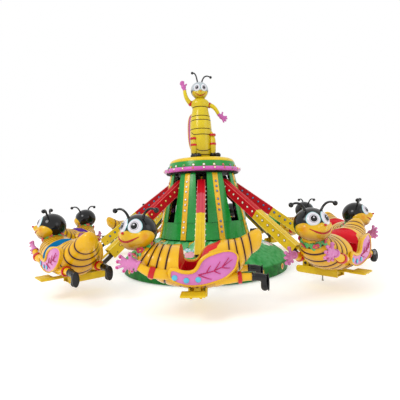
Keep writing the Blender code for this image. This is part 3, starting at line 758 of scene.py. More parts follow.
def bend_to_skull(mesh, side_turn, lift_turn):
    """Wrap a flat mesh, whose x runs sideways, y up and z outward, round the skull at a direction."""
    deep, wide, high = SKULL
    for point in mesh.vertices:
        turn = side_turn + point.co.x / wide
        lift = lift_turn + point.co.y / high
        away = 1 + point.co.z / high
        point.co = (Vector((deep * math.cos(lift) * math.cos(turn), wide * math.cos(lift) * math.sin(turn),
                            high * math.sin(lift))) * away - Vector((SKULL_BACK, 0, 0)))
    return mesh


# %% [markdown]
# The eyes are painted in rings on a low dome: pupil with a light spot, a thin ring, white, and a pale blue
# edge. Circles in a row make the dome, and each band of faces takes its paint's slot. The pupil sits off
# centre, so the inner circles are shifted.

# %% Make the eyes
# Share of the eye's radius where each band ends, and the slot of its paint.
EYE_BANDS = [(0.09, 1), (0.40, 0), (0.47, 1), (0.52, 3), (0.87, 1), (0.965, 2), (1.0, 0)]
PUPIL_SHARE = 0.40
EYE_HALF = (0.132, 0.126)
EYE_RISE = 0.020
EYE_AT = (math.radians(26.5), math.radians(24))


def build_eye(shape, toward):
    """Dome of painted rings, with the pupil shifted towards the nose, and a skirt down into the skull."""
    rings = []
    for share, slot in EYE_BANDS:
        shift = (1 - max(share, PUPIL_SHARE)) * 0.030
        spot_rise = 0.016 if share < PUPIL_SHARE else 0.0
        middle = (toward * shift * 0.6, spot_rise - shift * 0.5, EYE_RISE * (1 - share ** 2) + 0.002)
        size = (EYE_HALF[0] * share, EYE_HALF[1] * share, 1, 1)
        rings.append((Matrix.Translation(middle) @ Matrix.Diagonal(size), slot))
    skirt = bmesh.ops.extrude_edge_only(shape, edges=banded(shape, rings, 40))
    lowered = [part for part in skirt["geom"] if isinstance(part, bmesh.types.BMVert)]
    bmesh.ops.translate(shape, vec=(0, 0, -0.012), verts=lowered)


# %% [markdown]
# Mouth and nose lie on the jaw's skin. Rays shot at the finished jaw find where its surface is, and thin
# tubes are laid on the hits.

# %% Put the face together
from mathutils.bvhtree import BVHTree

MOUTH_STEPS, MOUTH_HALF = 32, 0.205
FEELER = [
    (0.030, 0.145, 0.185, 0.024), (0.040, 0.165, 0.250, 0.022), (0.046, 0.200, 0.302, 0.021),
    (0.050, 0.260, 0.345, 0.020), (0.052, 0.330, 0.357, 0.019), (0.054, 0.390, 0.345, 0.018),
    (0.055, 0.415, 0.332, 0.018)]


def make_face_parts(skull_slot=0, feelers=True):
    """Parts of the head in its own frame, with slots: 0 black, 1 white, 2 pale blue, 3 grey, 4 skin,
    5 lip, 6 red."""
    jaw = fused(build_jaw, JAW_VOXEL, 6)
    skin = BVHTree.FromPolygons([v.co for v in jaw.vertices], [tuple(f.vertices) for f in jaw.polygons])

    def skull(shape):
        ball(shape, (-SKULL_BACK, 0, 0), SKULL, 48, 32)

    def mouth(shape):
        rows = []
        for i in range(MOUTH_STEPS + 1):
            side = MOUTH_HALF * (2 * i / MOUTH_STEPS - 1)
            up = -0.132 + 0.077 * (abs(side) / MOUTH_HALF) ** 1.8
            spot = skin.ray_cast(Vector((1, side, up)), Vector((-1, 0, 0)))[0]
            edge = 1 - abs(2 * i / MOUTH_STEPS - 1)
            rows.append((spot.x - 0.001, spot.y, spot.z, 0.006 + 0.010 * min(edge * 2.2, 1)))
        tube(shape, rows, 8)

    def nose(shape):
        ball(shape, (0.348, 0, 0.006), (0.022, 0.023, 0.021), 16, 10)

    def feeler_pair(shape):
        for side in (-1, 1):
            tube(shape, [(x, side * y, z, radius) for x, y, z, radius in smooth_path(FEELER, 3)], 10)
            ball(shape, (0.055, side * 0.420, 0.330), (0.042, 0.042, 0.042), 16, 12)
            ball(shape, (0.035, side * 0.150, 0.205), (0.036, 0.036, 0.022), 16, 8)
    parts = [(mesh_from(skull), skull_slot), (jaw, 4), (mesh_from(mouth), 5), (mesh_from(nose), 6)]
    if feelers:
        parts.append((mesh_from(feeler_pair), 0))
    for side in (-1, 1):
        eye = mesh_from(lambda shape: build_eye(shape, -side), outward=False)
        parts.append((bend_to_skull(eye, side * EYE_AT[0], EYE_AT[1]), None))
    return parts


def paint_head_shade(mesh):
    """Painted shade under the jaw and a warm blush on each cheek."""
    spots = points_of(mesh)
    # Painted shade: darker under the jaw.
    low = np.clip((-0.08 - spots[:, 2]) / 0.20, 0, 1) * 0.95
    blush_and_reflection = np.zeros(len(spots))
    for side in (-1, 1):
        far = np.linalg.norm(spots - np.array((0.135, side * 0.235, -0.060)), axis=1)
        blush_and_reflection = np.maximum(blush_and_reflection, np.exp(-(far / 0.055) ** 2))
    give_values(mesh, "painted_shade", np.clip(low, 0, 1))
    give_values(mesh, "blush_and_reflection", blush_and_reflection)


head_mesh = joined(make_face_parts())
paint_head_shade(head_mesh)
print("head", triangles(head_mesh), "triangles")

# %% [markdown]
# ## Arms, gloves, legs and boots
# The limbs are laminated onto the body: short swept tubes with a red hoop. Hands and boots are swollen,
# soft shapes, so they are made from balls and stubs that a voxel remesh fuses, like clay under a thumb.

# %% Model the limbs
GLOVE_VOXEL, BOOT_VOXEL = 0.0115, 0.013
PALM = Vector((0.940, 0.380, 0.880))
# Finger tips as (x, y, z, radius).
FINGERS = [
    (0.967, 0.398, 1.043, 0.034), (1.125, 0.392, 1.003, 0.033), (1.175, 0.380, 0.918, 0.031),
    (1.188, 0.370, 0.818, 0.031), (1.080, 0.375, 0.756, 0.029), (0.940, 0.380, 0.744, 0.027)]
WRIST_ROWS = [(0.845, 0.386, 0.852, 0.062), (0.880, 0.384, 0.862, 0.056), (0.930, 0.380, 0.880, 0.050)]
ARM_ROWS = [
    (0.385, 0.300, 0.700, 0.088), (0.500, 0.372, 0.714, 0.082), (0.645, 0.395, 0.740, 0.074),
    (0.760, 0.392, 0.788, 0.062), (0.860, 0.385, 0.856, 0.052)]
LEG_ROWS = [
    (-0.28, 0.275, 0.605, 0.100), (-0.46, 0.290, 0.612, 0.086), (-0.62, 0.298, 0.622, 0.070),
    (-0.74, 0.300, 0.627, 0.058), (-0.85, 0.300, 0.628, 0.054)]
# Hoops as (point, way of the axis, radius, half width, thickness).
GLOVE_CUFF = ((0.850, 0.386, 0.853), (0.66, -0.03, 0.34), 0.058, 0.020, 0.015)
ARM_HOOP = ((0.645, 0.395, 0.741), (0.25, 0.01, 0.075), 0.072, 0.044, 0.018)
LEG_HOOP = ((-0.645, 0.299, 0.620), (-1, 0.01, 0.03), 0.070, 0.030, 0.020)
BOOT_HOOP = ((-0.832, 0.300, 0.628), (-1, 0, 0), 0.058, 0.016, 0.014)


def hoop(shape, place, radius, half_width, thick, segments=28):
    """Add a rounded band round the Z axis of a place."""
    profile = [(radius - 0.002, -half_width), (radius + thick * 0.7, -half_width * 0.95),
               (radius + thick, -half_width * 0.5), (radius + thick, half_width * 0.5),
               (radius + thick * 0.7, half_width * 0.95), (radius - 0.002, half_width)]
    places = [place @ Matrix.Translation((0, 0, z)) @ Matrix.Diagonal((r, r, 1, 1)) for r, z in profile]
    bridged(shape, places, segments, closed=True)


def facing(point, way):
    """Place whose Z axis points along a way."""
    return Matrix.Translation(point) @ Vector(way).to_track_quat("Z", "Y").to_matrix().to_4x4()


def hoop_at(shape, point, way, radius, half_width, thick):
    """Add a hoop round a way that passes through a point."""
    hoop(shape, facing(point, way), radius, half_width, thick)


def hoop_mesh(hoop_sizes):
    """Mesh of one hoop."""
    return mesh_from(lambda shape: hoop_at(shape, *hoop_sizes))


def limb_tube(rows):
    """Mesh of a bare limb that is swept along a smooth path."""
    return mesh_from(lambda shape: tube(shape, smooth_path(rows, 4), 22))


# %% [markdown]
# A glove is two balls for the palm, a stub and a ball for each finger, and a tube at the wrist. A boot is
# two short tubes with a ball at the toe.

# %% Shape gloves and boots
def build_glove(shape):
    """Palm, four fingers and thumb as one lump."""
    ball(shape, PALM, (0.070, 0.044, 0.072), 20, 14)
    ball(shape, PALM + Vector((0.045, 0.0, 0.0)), (0.055, 0.042, 0.066), 20, 14)
    tube(shape, WRIST_ROWS, 16)
    for x, y, z, radius in FINGERS:
        root = PALM + Vector((0.030, 0, 0.005)) * (0.3 if x < 1 else 1)
        tip = Vector((x, y, z))
        stub = [(*root.lerp(tip, share), radius * (0.98 - 0.16 * math.sin(math.pi * share)))
                for share in (0.0, 0.35, 0.7, 0.92)]
        tube(shape, stub, 12)
        ball(shape, tip - (tip - root).normalized() * radius * 0.7, (radius * 1.04,) * 3, 14, 10)


def nail_dots(shape):
    """Painted nail dots on the finger tips."""
    for x, y, z, radius in FINGERS:
        tip = Vector((x, y, z))
        back = tip - (tip - PALM).normalized() * radius * 0.9
        ball(shape, back + Vector((0, radius * 0.82, 0)), (radius * 0.5, radius * 0.3, radius * 0.5), 10, 6)


def build_boot(shape):
    """Black boot whose foot hangs down behind the ankle."""
    tube(shape, [(-0.825, 0.300, 0.628, 0.064), (-0.860, 0.300, 0.627, 0.060), (-0.940, 0.300, 0.622, 0.060),
                 (-0.985, 0.300, 0.612, 0.058)], 20)
    tube(shape, [(-0.990, 0.300, 0.655, 0.045), (-1.000, 0.300, 0.620, 0.058), (-1.006, 0.300, 0.560, 0.054),
                 (-1.008, 0.300, 0.500, 0.060), (-1.006, 0.300, 0.450, 0.052)], 20)
    ball(shape, (-1.006, 0.300, 0.474), (0.058, 0.066, 0.060), 20, 14)
    hoop_at(shape, *BOOT_HOOP)


def boot_sole(shape):
    """Flat sole that faces backward."""
    place = Matrix.Translation((-1.060, 0.300, 0.545)) @ Matrix.Rotation(math.pi / 2, 4, "Y")
    steps = [(-0.010, 0.92), (-0.008, 1.0), (0.008, 1.0), (0.010, 0.92)]
    bridged(shape, [place @ Matrix.Translation((0, 0, z)) @ Matrix.Diagonal((0.130 * s, 0.062 * s, 1, 1))
                    for z, s in steps], 28)


# %% [markdown]
# Both sides share the same shapes. Those of the inner side are mirrored, and its arm hangs a little lower.

# %% Join the limbs
SHOULDER = Vector((0.385, 0.330, 0.700))
INNER_ARM_DROP, INNER_ARM_TURN = math.radians(12), math.radians(-4)


def limb_side(side):
    """Arm and leg of one side, with slots: 0 yellow, 1 glove, 2 nail dots, 3 red, 4 boot."""
    upper = joined([(limb_tube(ARM_ROWS), 0), (hoop_mesh(ARM_HOOP), 3),
                    (fused(build_glove, GLOVE_VOXEL, 3), 1), (hoop_mesh(GLOVE_CUFF), 1),
                    (mesh_from(nail_dots), 2)])
    legs = joined([(limb_tube(LEG_ROWS), 0), (hoop_mesh(LEG_HOOP), 3), (fused(build_boot, BOOT_VOXEL, 3), 4),
                   (mesh_from(boot_sole), 4)])
    if side < 0:
        upper.transform(Matrix.Translation(SHOULDER) @ Matrix.Rotation(INNER_ARM_TURN, 4, "Z")
                        @ Matrix.Rotation(INNER_ARM_DROP, 4, "Y") @ Matrix.Translation(-SHOULDER))
        upper, legs = mirrored(upper), mirrored(legs)
    return joined([(upper, None), (legs, None)])


limb_mesh = joined([(limb_side(1), None), (limb_side(-1), None)])
give_values(limb_mesh, "painted_shade", np.zeros(len(limb_mesh.vertices)))
keep_own_places(limb_mesh)
print("limbs", triangles(limb_mesh), "triangles")

# %% [markdown]
# ## The collar of leaves
# A garland sits where the neck leaves the chest: leaves that point down the chest and red flowers between
# them. Each leaf is a small grid pulled to a point and laid on the chest by walking over the body's rings.

# %% Model the collar
COLLAR_RING = 1
LEAVES, FLOWERS = 12, 6


def chest_point(turn, length, rise=0.0):
    """Point on the chest at a turn round the collar ring, a length away from it."""
    rows = [np.array(row[:5]) for row in BODY_RINGS[COLLAR_RING:COLLAR_RING + 6]]
    rim = Vector((math.cos(turn), math.sin(turn), 0))
    left = length
    for first, second in zip(rows, rows[1:]):
        start, end = ring_place(first) @ rim, ring_place(second) @ rim
        step = (end - start).length
        if left <= step:
            break
        left -= step
    spot = start.lerp(end, min(left / step, 1))
    centre = (ring_place(first) @ Vector()).lerp(ring_place(second) @ Vector(), min(left / step, 1))
    return spot + (spot - centre).normalized() * rise


def lay_leaf(mesh, turn, length, half_width, rise):
    """Shape a unit grid, x across and y along, into a pointed leaf on the chest."""
    for point in mesh.vertices:
        across, along = point.co.x, (point.co.y + 1) / 2
        wide = half_width * math.sin(math.pi * min(along, 1) ** 0.75) ** 0.8 if 0 < along < 1 else 0.0
        lean = across * wide / 0.20
        crown = rise + 0.010 * (1 - across ** 2) * math.sin(math.pi * along) + point.co.z
        point.co = chest_point(turn + lean, max(length * along - 0.020, 0.0), crown)
    return mesh


def collar_parts():
    """Leaves and flowers with slots: 0 leaf, 1 flower, 2 flower centre."""
    parts = []
    for i in range(LEAVES):
        def leaf(shape):
            bmesh.ops.create_grid(shape, x_segments=5, y_segments=7, size=1)
            bmesh.ops.solidify(shape, geom=shape.faces[:], thickness=0.005)
        turn = math.tau * (i + 0.5) / LEAVES
        long = 0.160 if i % 2 else 0.130
        parts.append((lay_leaf(mesh_from(leaf), turn, long, 0.050, 0.008 + 0.006 * (i % 2)), 0))
    for i in range(FLOWERS):
        turn = math.tau * (i + 0.5) / FLOWERS
        spot = chest_point(turn, 0.050, 0.026)
        out = (spot - ring_place(BODY_RINGS[COLLAR_RING]) @ Vector()).normalized()

        def flower(shape):
            place = facing(spot, out)
            for petal in range(5):
                angle = math.tau * petal / 5
                at = place @ Vector((0.034 * math.cos(angle), 0.034 * math.sin(angle), 0.002))
                ball(shape, at, (0.032, 0.032, 0.014), 10, 6, facing((0, 0, 0), out))

        def centre(shape):
            ball(shape, spot + out * 0.010, (0.020, 0.020, 0.014), 10, 6)
        parts += [(mesh_from(flower), 1), (mesh_from(centre), 2)]
    return parts


collar_mesh = joined(collar_parts())
keep_own_places(collar_mesh)
print("collar", triangles(collar_mesh), "triangles")

# %% [markdown]
# ## Eight bees
# Every bee is the same moulding. Its head is turned outward, away from the tower, and its seat takes the
# colour that is listed for its arm.

# %% Place the bees
HEAD_PLACE = Matrix.Translation((0.918, 0.040, 1.322)) @ Matrix.Rotation(math.radians(63), 4, "Z")
placed_head = head_mesh.copy()
placed_head.transform(HEAD_PLACE)
keep_own_places(placed_head)

for k in range(ARMS):
    number = k + 1
    seat = SEATS[SEAT_COLOURS[k]]
    for name, mesh, finishes, slot in (
            ("shell", body_mesh, [YELLOW, GROOVE, seat], "yellow_gelcoat"),
            ("wings", wing_mesh, [PINK, YELLOW, MAGENTA, DOT_BLUE, seat], "pink_gelcoat"),
            ("head", placed_head, [BLACK, WHITE, PALE_BLUE, GREY, FACE, LIP, RED], "yellow_gelcoat"),
            ("limbs", limb_mesh, [YELLOW, GLOVE, MAGENTA, RED, RUBBER], "yellow_gelcoat"),
            ("collar", collar_mesh, [LEAF, ROSE, YELLOW], "green_paint")):
        piece(f"bee_{name}_{number}", mesh, finishes, f"car_{number}", car_place(k), [f"bee_{number}"])
print(len(made_pieces), "pieces of the bees")

# %% [markdown]
# ## The lifting arms
# Each arm is a box beam inside a folded sheet cover, open below, with a raised rib along its top and rolled
# edges. The upper half of the cover is red and the lower half yellow. Lamps stand in a row on each side.

# %% Arm sizes and finishes
BEAM_HALF = (0.038, 0.035)
COVER_HALF, COVER_BOTTOM, COVER_TOP, COVER_WALL = 0.093, -0.058, 0.162, 0.006
# The second length is where the painted reflection on the top face of one arm begins.
COVER_START, REFLECTION_START, PAINT_SPLIT, COVER_END = 0.130, 0.700, 1.427, 2.640
FIRST_LAMP, LAMP_RADIUS, LAMP_STEP = 0.330, 0.024, 0.170
BRACES = (0.30, 1.35, 2.50)
REFLECTION_ARM = 0
LINK_OFFSET = 0.120

ARM_RED = enamel("red_enamel", "#BE061A", "#920612", roughness=0.42, wear=0.08, gloss=0.12)
# Painted reflection: a rose red that stands for the sky reflected on the top face of one arm.
RED_PAINTED_REFLECTION = enamel("red_enamel_painted_reflection", "#C24454", "#B8303F", roughness=0.42, wear=0.12)
ARM_YELLOW = enamel("yellow_enamel", "#DDBC12", "#B88E06", roughness=0.34, wear=0.22)
# Painted highlights: paler red and yellow for the rolled edges of the arm cover.
RED_EDGE_HIGHLIGHT = enamel("red_edge_painted_highlight_enamel", "#DE6A62", "#C22A2A", roughness=0.3)
YELLOW_EDGE_HIGHLIGHT = enamel("yellow_edge_painted_highlight_enamel", "#F0E07C", "#D9B72C", roughness=0.3)
STEEL = enamel("dark_steel_paint", "#26231F", "#3B342B", roughness=0.5, wear=0.4)
SOCKET = enamel("lamp_socket_enamel", "#B98A1C", "#6E5010", roughness=0.4)
LAMPS = {name: lamp_cap(f"{name}_lamp_cap", colour) for name, colour in (
    ("white", "#EDEFF0"), ("cream", "#F0E6C8"), ("blue", "#0E62A0"), ("gold", "#F0B62C"), ("red", "#C8202A"),
    ("green", "#1E9A4C"))}
ARM_LAMPS = ["white", "cream", "blue", "gold"] * 2


# %% Lamp and cover helpers
def lamp(shape, point, out, radius, cap=True):
    """A lamp cap, or else the socket ring round it, that stands out from a surface."""
    place = facing(point, out)
    if cap:
        middle = place @ Vector((0, 0, radius * 0.15))
        ball(shape, middle, (radius, radius, radius * 0.75), 12, 8, facing((0, 0, 0), out))
    else:
        hoop(shape, place @ Matrix.Translation((0, 0, 0.002)), radius, 0.004, 0.008, 12)


def cover_outline():
    """Closed section of the cover as (x, z), with a raised rib on top."""
    top, low, half, wall = COVER_TOP, COVER_BOTTOM, COVER_HALF, COVER_WALL
    outer = [(-half, low), (-half, top - 0.012), (-half + 0.012, top), (-0.034, top), (-0.028, top + 0.012),
             (0.028, top + 0.012), (0.034, top), (half - 0.012, top), (half, top - 0.012), (half, low)]
    inner = [(half - wall, low), (half - wall, top - 0.014), (half - 0.014, top - wall),
             (-half + 0.014, top - wall), (-half + wall, top - 0.014), (-half + wall, low)]
    return outer + inner


def lamp_rows():
    """Distances of the lamps down the cover."""
    count = int((COVER_END - 0.10 - FIRST_LAMP) / LAMP_STEP) + 1
    return [FIRST_LAMP + LAMP_STEP * i for i in range(count)]


# %% [markdown]
# The cover comes in three painted lengths. The last one starts a little smaller, inside the one before it,
# so that their faces don't lie in one plane.

# %% Fold the cover and dress the beam
def cover_parts(top_slot, slot, start, end):
    """One painted length of the cover and its rolled edges."""
    def cover(shape):
        prism(shape, cover_outline(), start, end)
        if slot == 1:
            corners = [corner for corner in shape.verts if abs(corner.co.y - start) < 1e-5]
            bmesh.ops.scale(shape, vec=(0.985, 1, 0.985), verts=corners)

    def edges(shape):
        along = (start + 0.003, (start + end) / 2, end - 0.003)
        for side in (-1, 1):
            x = side * (COVER_HALF - 0.003)
            for z, radius in ((COVER_TOP - 0.004, 0.0065), (COVER_BOTTOM, 0.0055)):
                tube(shape, [(x, y, z, radius) for y in along], 8)
    folded = mesh_from(cover)
    for face in folded.polygons:
        face.material_index = top_slot if face.normal.z > 0.5 else slot
    # The rolled edges take the paler paint of a painted highlight.
    return [(folded, None), (mesh_from(edges), slot + 2)]


def arm_parts():
    """Parts of an arm in its own frame, with slots: 0 red, 1 yellow, 2 red with a painted highlight on the
    rolled edges, 3 yellow with a painted highlight on the rolled edges, 4 lamp, 5 socket, 6 dark steel, 7 red
    with a painted sky reflection on the top."""
    sections = []
    # The middle length's top takes slot 7, the red with a painted reflection on one arm.
    for lengths in ((0, 0, COVER_START, REFLECTION_START), (7, 0, REFLECTION_START, PAINT_SPLIT),
                    (1, 1, PAINT_SPLIT - 0.02, COVER_END)):
        sections += cover_parts(*lengths)

    def lamps(shape, cap):
        for y in lamp_rows():
            for side in (-1, 1):
                lamp(shape, (side * COVER_HALF, y, 0.070), (side, 0, 0), LAMP_RADIUS, cap)

    def beam(shape):
        width, height = BEAM_HALF
        block(shape, (-width, 0.03, -height), (width, ARM_LENGTH - 0.03, height), 0.006)
        for y in (0.0, ARM_LENGTH):
            rod(shape, crossways(y), height, 2 * width, 32)
        for y in BRACES:
            block(shape, (-COVER_HALF + 0.004, y, -0.028), (COVER_HALF - 0.004, y + 0.03, 0.028), 0.003, 1)

    def screws(shape):
        for y in BRACES:
            for side in (-1, 1):
                rod(shape, facing((side * COVER_HALF, y + 0.015, 0.0), (side, 0, 0)), 0.012, 0.014, 6, 0.011)
    return sections + [
        (mesh_from(lambda shape: lamps(shape, True)), 4), (mesh_from(lambda shape: lamps(shape, False)), 5),
        (mesh_from(beam), 6), (mesh_from(screws), 5)]


arm_mesh = joined(arm_parts())


# %% [markdown]
# The levelling rod runs inside the cover, parallel to the beam. Each arm takes its own lamp colour.

# %% Make the rod and place the arms
def build_link(shape):
    """Levelling rod with an eye at each end."""
    block(shape, (-0.020, 0.02, -0.018), (0.020, ARM_LENGTH - 0.02, 0.018), 0.005)
    for y in (0.0, ARM_LENGTH):
        rod(shape, crossways(y), 0.034, 0.040, 28)


link_mesh = mesh_from(build_link)
for k in range(ARMS):
    number = k + 1
    paints = [ARM_RED, ARM_YELLOW, RED_EDGE_HIGHLIGHT, YELLOW_EDGE_HIGHLIGHT, LAMPS[ARM_LAMPS[k]], STEEL, STEEL,
              # Only one arm's top gets the red with a painted reflection.
              RED_PAINTED_REFLECTION if k == REFLECTION_ARM else ARM_RED]
    piece(f"arm_dressed_{number}", arm_mesh, paints, f"arm_body_{number}", arm_place(k),
          [f"arm_{number}"])
    piece(f"levelling_rod_{number}", link_mesh, [ARM_YELLOW], f"link_body_{number}",
          Matrix.Translation((0, 0, LINK_OFFSET)) @ arm_place(k), [f"link_{number}"])
print("arm", triangles(arm_mesh), "triangles")

# %% [markdown]
# ## The car frames
# Under each bee lies a welded frame: two rails and a floor plate, two plates that hold the pins of the arm
# and the levelling rod, and a ribbed boarding step outside. One car also has a short rod that hangs below.

# %% Model the car frame
RAIL_LOW, RAIL_HIGH, RAIL_END = 0.275, 0.415, 3.680
STEP_TOP, STEP_START, STEP_END = 0.443, 3.930, 4.180
STEP_SIDES = (-0.140, 0.225)
DROP_ROD_CAR = 1
PIN_AT, PIN_HEIGHTS = 3.0, (0.4570, 0.5770)
DROP_ROD_AT = 3.32


def rails(shape):
    """The two side rails, with tapered inner ends."""
    outline = [(2.840, 0.320), (2.860, 0.285), (2.900, RAIL_LOW), (RAIL_END, RAIL_LOW), (RAIL_END, RAIL_HIGH),
               (2.900, RAIL_HIGH), (2.860, 0.405), (2.840, 0.370)]
    for low in (-0.150, 0.120):
        prism(shape, outline, low, low + 0.030, across=True)
    bmesh.ops.bevel(shape, geom=shape.edges[:], offset=0.005, segments=2, profile=0.5, affect="EDGES",
                    material=-1)


def plates(shape):
    """Floor plate, pin plates and the boarding step with its brackets and ribs."""
    block(shape, (-0.140, 2.900, 0.281), (0.140, RAIL_END - 0.010, 0.293), 0.002, 1)
    outline = [(2.925, 0.288), (3.075, 0.288), (3.055, 0.560), (3.035, 0.615), (2.965, 0.615), (2.945, 0.560)]
    for middle in (-0.052, 0.052):
        prism(shape, outline, middle - 0.006, middle + 0.006, across=True)
    left, right = STEP_SIDES
    bracket = RAIL_END - 0.060
    block(shape, (left, STEP_START, STEP_TOP - 0.030), (right, STEP_END, STEP_TOP), 0.006)
    for x in (-0.070, 0.070):
        block(shape, (x - 0.018, bracket, STEP_TOP - 0.056), (x + 0.018, STEP_END - 0.030, STEP_TOP - 0.029),
              0.004)
    block(shape, (-0.088, bracket, 0.285), (0.088, RAIL_END - 0.040, STEP_TOP - 0.040), 0.005)
    for i in range(7):
        y = STEP_START + 0.018 + 0.034 * i
        low = (left + 0.015, y, STEP_TOP - 0.003)
        block(shape, low, (right - 0.015, y + 0.012, STEP_TOP + 0.004), 0.002, 1)


def pins(shape):
    """Pins of the arm and the levelling rod with their nuts, and the bolts under the floor plate."""
    for height in PIN_HEIGHTS:
        place = crossways(PIN_AT, height)
        rod(shape, place, 0.016, 0.150, 24)
        for side in (-1, 1):
            rod(shape, Matrix.Translation((side * 0.065, 0, 0)) @ place, 0.028, 0.014, 6)
    for x in (-0.100, 0.100):
        for y in (3.20, 3.60):
            rod(shape, Matrix.Translation((x, y, 0.277)), 0.014, 0.016, 6)


def drop_rod(shape):
    """Rod that hangs below the floor plate of one car."""
    tube(shape, [(0, DROP_ROD_AT, z, 0.013) for z in (0.290, 0.22, 0.140)], 16)
    hoop(shape, Matrix.Translation((0, DROP_ROD_AT, 0.148)), 0.013, 0.008, 0.010, 20)


ZINC = enamel("zinc_rod_steel", "#9A9C9C", "#6E7072", roughness=0.35, wear=0.3)
# Slots of a car frame: 0 yellow, 1 dark steel, 2 zinc.
frame_mesh = joined([(mesh_from(rails), 0), (mesh_from(plates), 0), (mesh_from(pins), 1)])
frame_with_rod = joined([(frame_mesh, None), (mesh_from(drop_rod), 2)])
for k in range(ARMS):
    mesh = frame_with_rod if k == DROP_ROD_CAR else frame_mesh
    piece(f"car_frame_dressed_{k + 1}", mesh, [ARM_YELLOW, STEEL, ZINC], f"car_{k + 1}",
          arm_turn(k), [f"car_frame_{k + 1}"])
print("car frame", triangles(frame_mesh), "triangles")

# %% [markdown]
# ## The tower
# Green moulded panels flare down to a drum. A raised yellow strip with lamps runs down the middle of each
# panel, and painted flowers stand beside it. Pieces are made flat and then bent onto the cone.

# %% Tower helpers and finishes
GREEN = gelcoat("green_panel_gelcoat", "#0A8A2A", "#2E8E4C", own=False, roughness=0.22, soft=0.55)
DARK_GREEN = gelcoat("dark_green_paint", "#0C4F22", "#083A1A", own=False, roughness=0.3)
STRIP_YELLOW = gelcoat("strip_yellow_gelcoat", "#E9B81E", "#C4880F", own=False, roughness=0.22, soft=0.4)
BLOOM = gelcoat("bloom_magenta_paint", "#BE46AE", "#8F2F8A", own=False, roughness=0.25, soft=0.6)
PEACH = gelcoat("pink_motif_paint", "#E2A5B4", "#C9788C", own=False, roughness=0.25)
SKY = gelcoat("pale_blue_motif_paint", "#9FD5E2", "#5FAFC6", own=False, roughness=0.25)
CREAM = gelcoat("cream_motif_paint", "#F0E9D6", "#CFC3A0", own=False, roughness=0.25)
RIM_PINK = gelcoat("pink_rim_gelcoat", "#CF5FB4", "#A03C8C", own=False, roughness=0.2, soft=0.4)
CAP_YELLOW = gelcoat("cap_yellow_gelcoat", "#DDBB1A", "#B88E10", own=False, roughness=0.22, soft=0.4)
# Painted shade: near-black green for the inside of the tower and the underside of the crown.
SHADE_DARK_GREEN = enamel("dark_green_painted_shade_enamel", "#06140A", "#030A05", roughness=0.7, wear=0.05)
CONE_FOOT, CONE_SLOPE = 1.207, 0.2265
ROUND_STEPS = 128
DRUM_TOP, DRUM_HOLE = 1.240, 0.4403
SLOT_HALF = 0.135
CLADDING_WALL = 0.020
STRIP_HALF, STRIP_RISE = 0.067, 0.028
STRIP_LAMP_HEIGHTS = (1.014, 1.130, 1.260, 1.530, 1.666, 1.790, 1.980, 2.100, 2.225)


def cladding_radius(z):
    """Outer radius of the cone at a height."""
    return CONE_FOOT - CONE_SLOPE * (z - CLADDING_LOW)


def on_cone(mesh, direction):
    """Wrap a flat mesh, x sideways, y outward and z up, on the cone at a direction (0 is arm 1's).

    The flat axes are left-handed, so the faces are turned outward again.
    """
    for point in mesh.vertices:
        radius = cladding_radius(point.co.z) + point.co.y
        turn = direction + point.co.x / cladding_radius(point.co.z)
        point.co = Vector((radius * math.sin(turn), -radius * math.cos(turn), point.co.z))
    mesh.update()
    mesh.flip_normals()
    return mesh


def panel_half(z):
    """Half width of a panel: a slot's edge away from the middle of the arm's direction."""
    radius = cladding_radius(z)
    return (math.pi / ARMS - math.asin(SLOT_HALF / radius)) * radius


def build_panel(shape):
    """One panel above the drum as a bevelled slab."""
    bmesh.ops.create_grid(shape, x_segments=12, y_segments=20, size=1)
    for corner in shape.verts:
        share = (corner.co.y + 1) / 2
        z = DRUM_TOP + (CLADDING_HIGH - DRUM_TOP) * share
        corner.co = Vector((corner.co.x * panel_half(z), 0, z))
    shape.normal_update()
    bmesh.ops.solidify(shape, geom=shape.faces[:], thickness=CLADDING_WALL)


def paint_inside(mesh, slot):
    """Give the faces that look towards the tower's axis their own slot, for the dark paint of painted shade
    inside the tower.
    """
    for face in mesh.polygons:
        if face.normal.x * face.center.x + face.normal.y * face.center.y < 0:
            face.material_index = slot
    return mesh


def build_drum(shape):
    """Closed drum below the arm slots, spun from its wall section."""
    low, high = cladding_radius(CLADDING_LOW), cladding_radius(DRUM_TOP)
    floor = CLADDING_LOW + 0.02
    spun(shape, [(DRUM_HOLE, CLADDING_LOW), (low - 0.004, CLADDING_LOW), (low, CLADDING_LOW + 0.006),
                 (high, DRUM_TOP), (high - CLADDING_WALL, DRUM_TOP), (low - CLADDING_WALL - 0.01, floor),
                 (DRUM_HOLE, floor)])


def spun(shape, section, closed=True):
    """Spin an (r, z) section round the Z axis."""
    corners = [shape.verts.new((r, 0, z)) for r, z in section]
    edges = [shape.edges.new(pair) for pair in zip(corners, corners[1:])]
    if closed:
        edges.append(shape.edges.new((corners[-1], corners[0])))
    bmesh.ops.spin(shape, geom=corners + edges, cent=(0, 0, 0), axis=(0, 0, 1), angle=math.tau,
                   steps=ROUND_STEPS, use_merge=True)
    bmesh.ops.remove_doubles(shape, verts=shape.verts, dist=1e-6)


# %% [markdown]
# A light strip is a rounded bar. It is cut across before it is bent, so that it follows the cone, and each
# of its lamps sits in a socket.

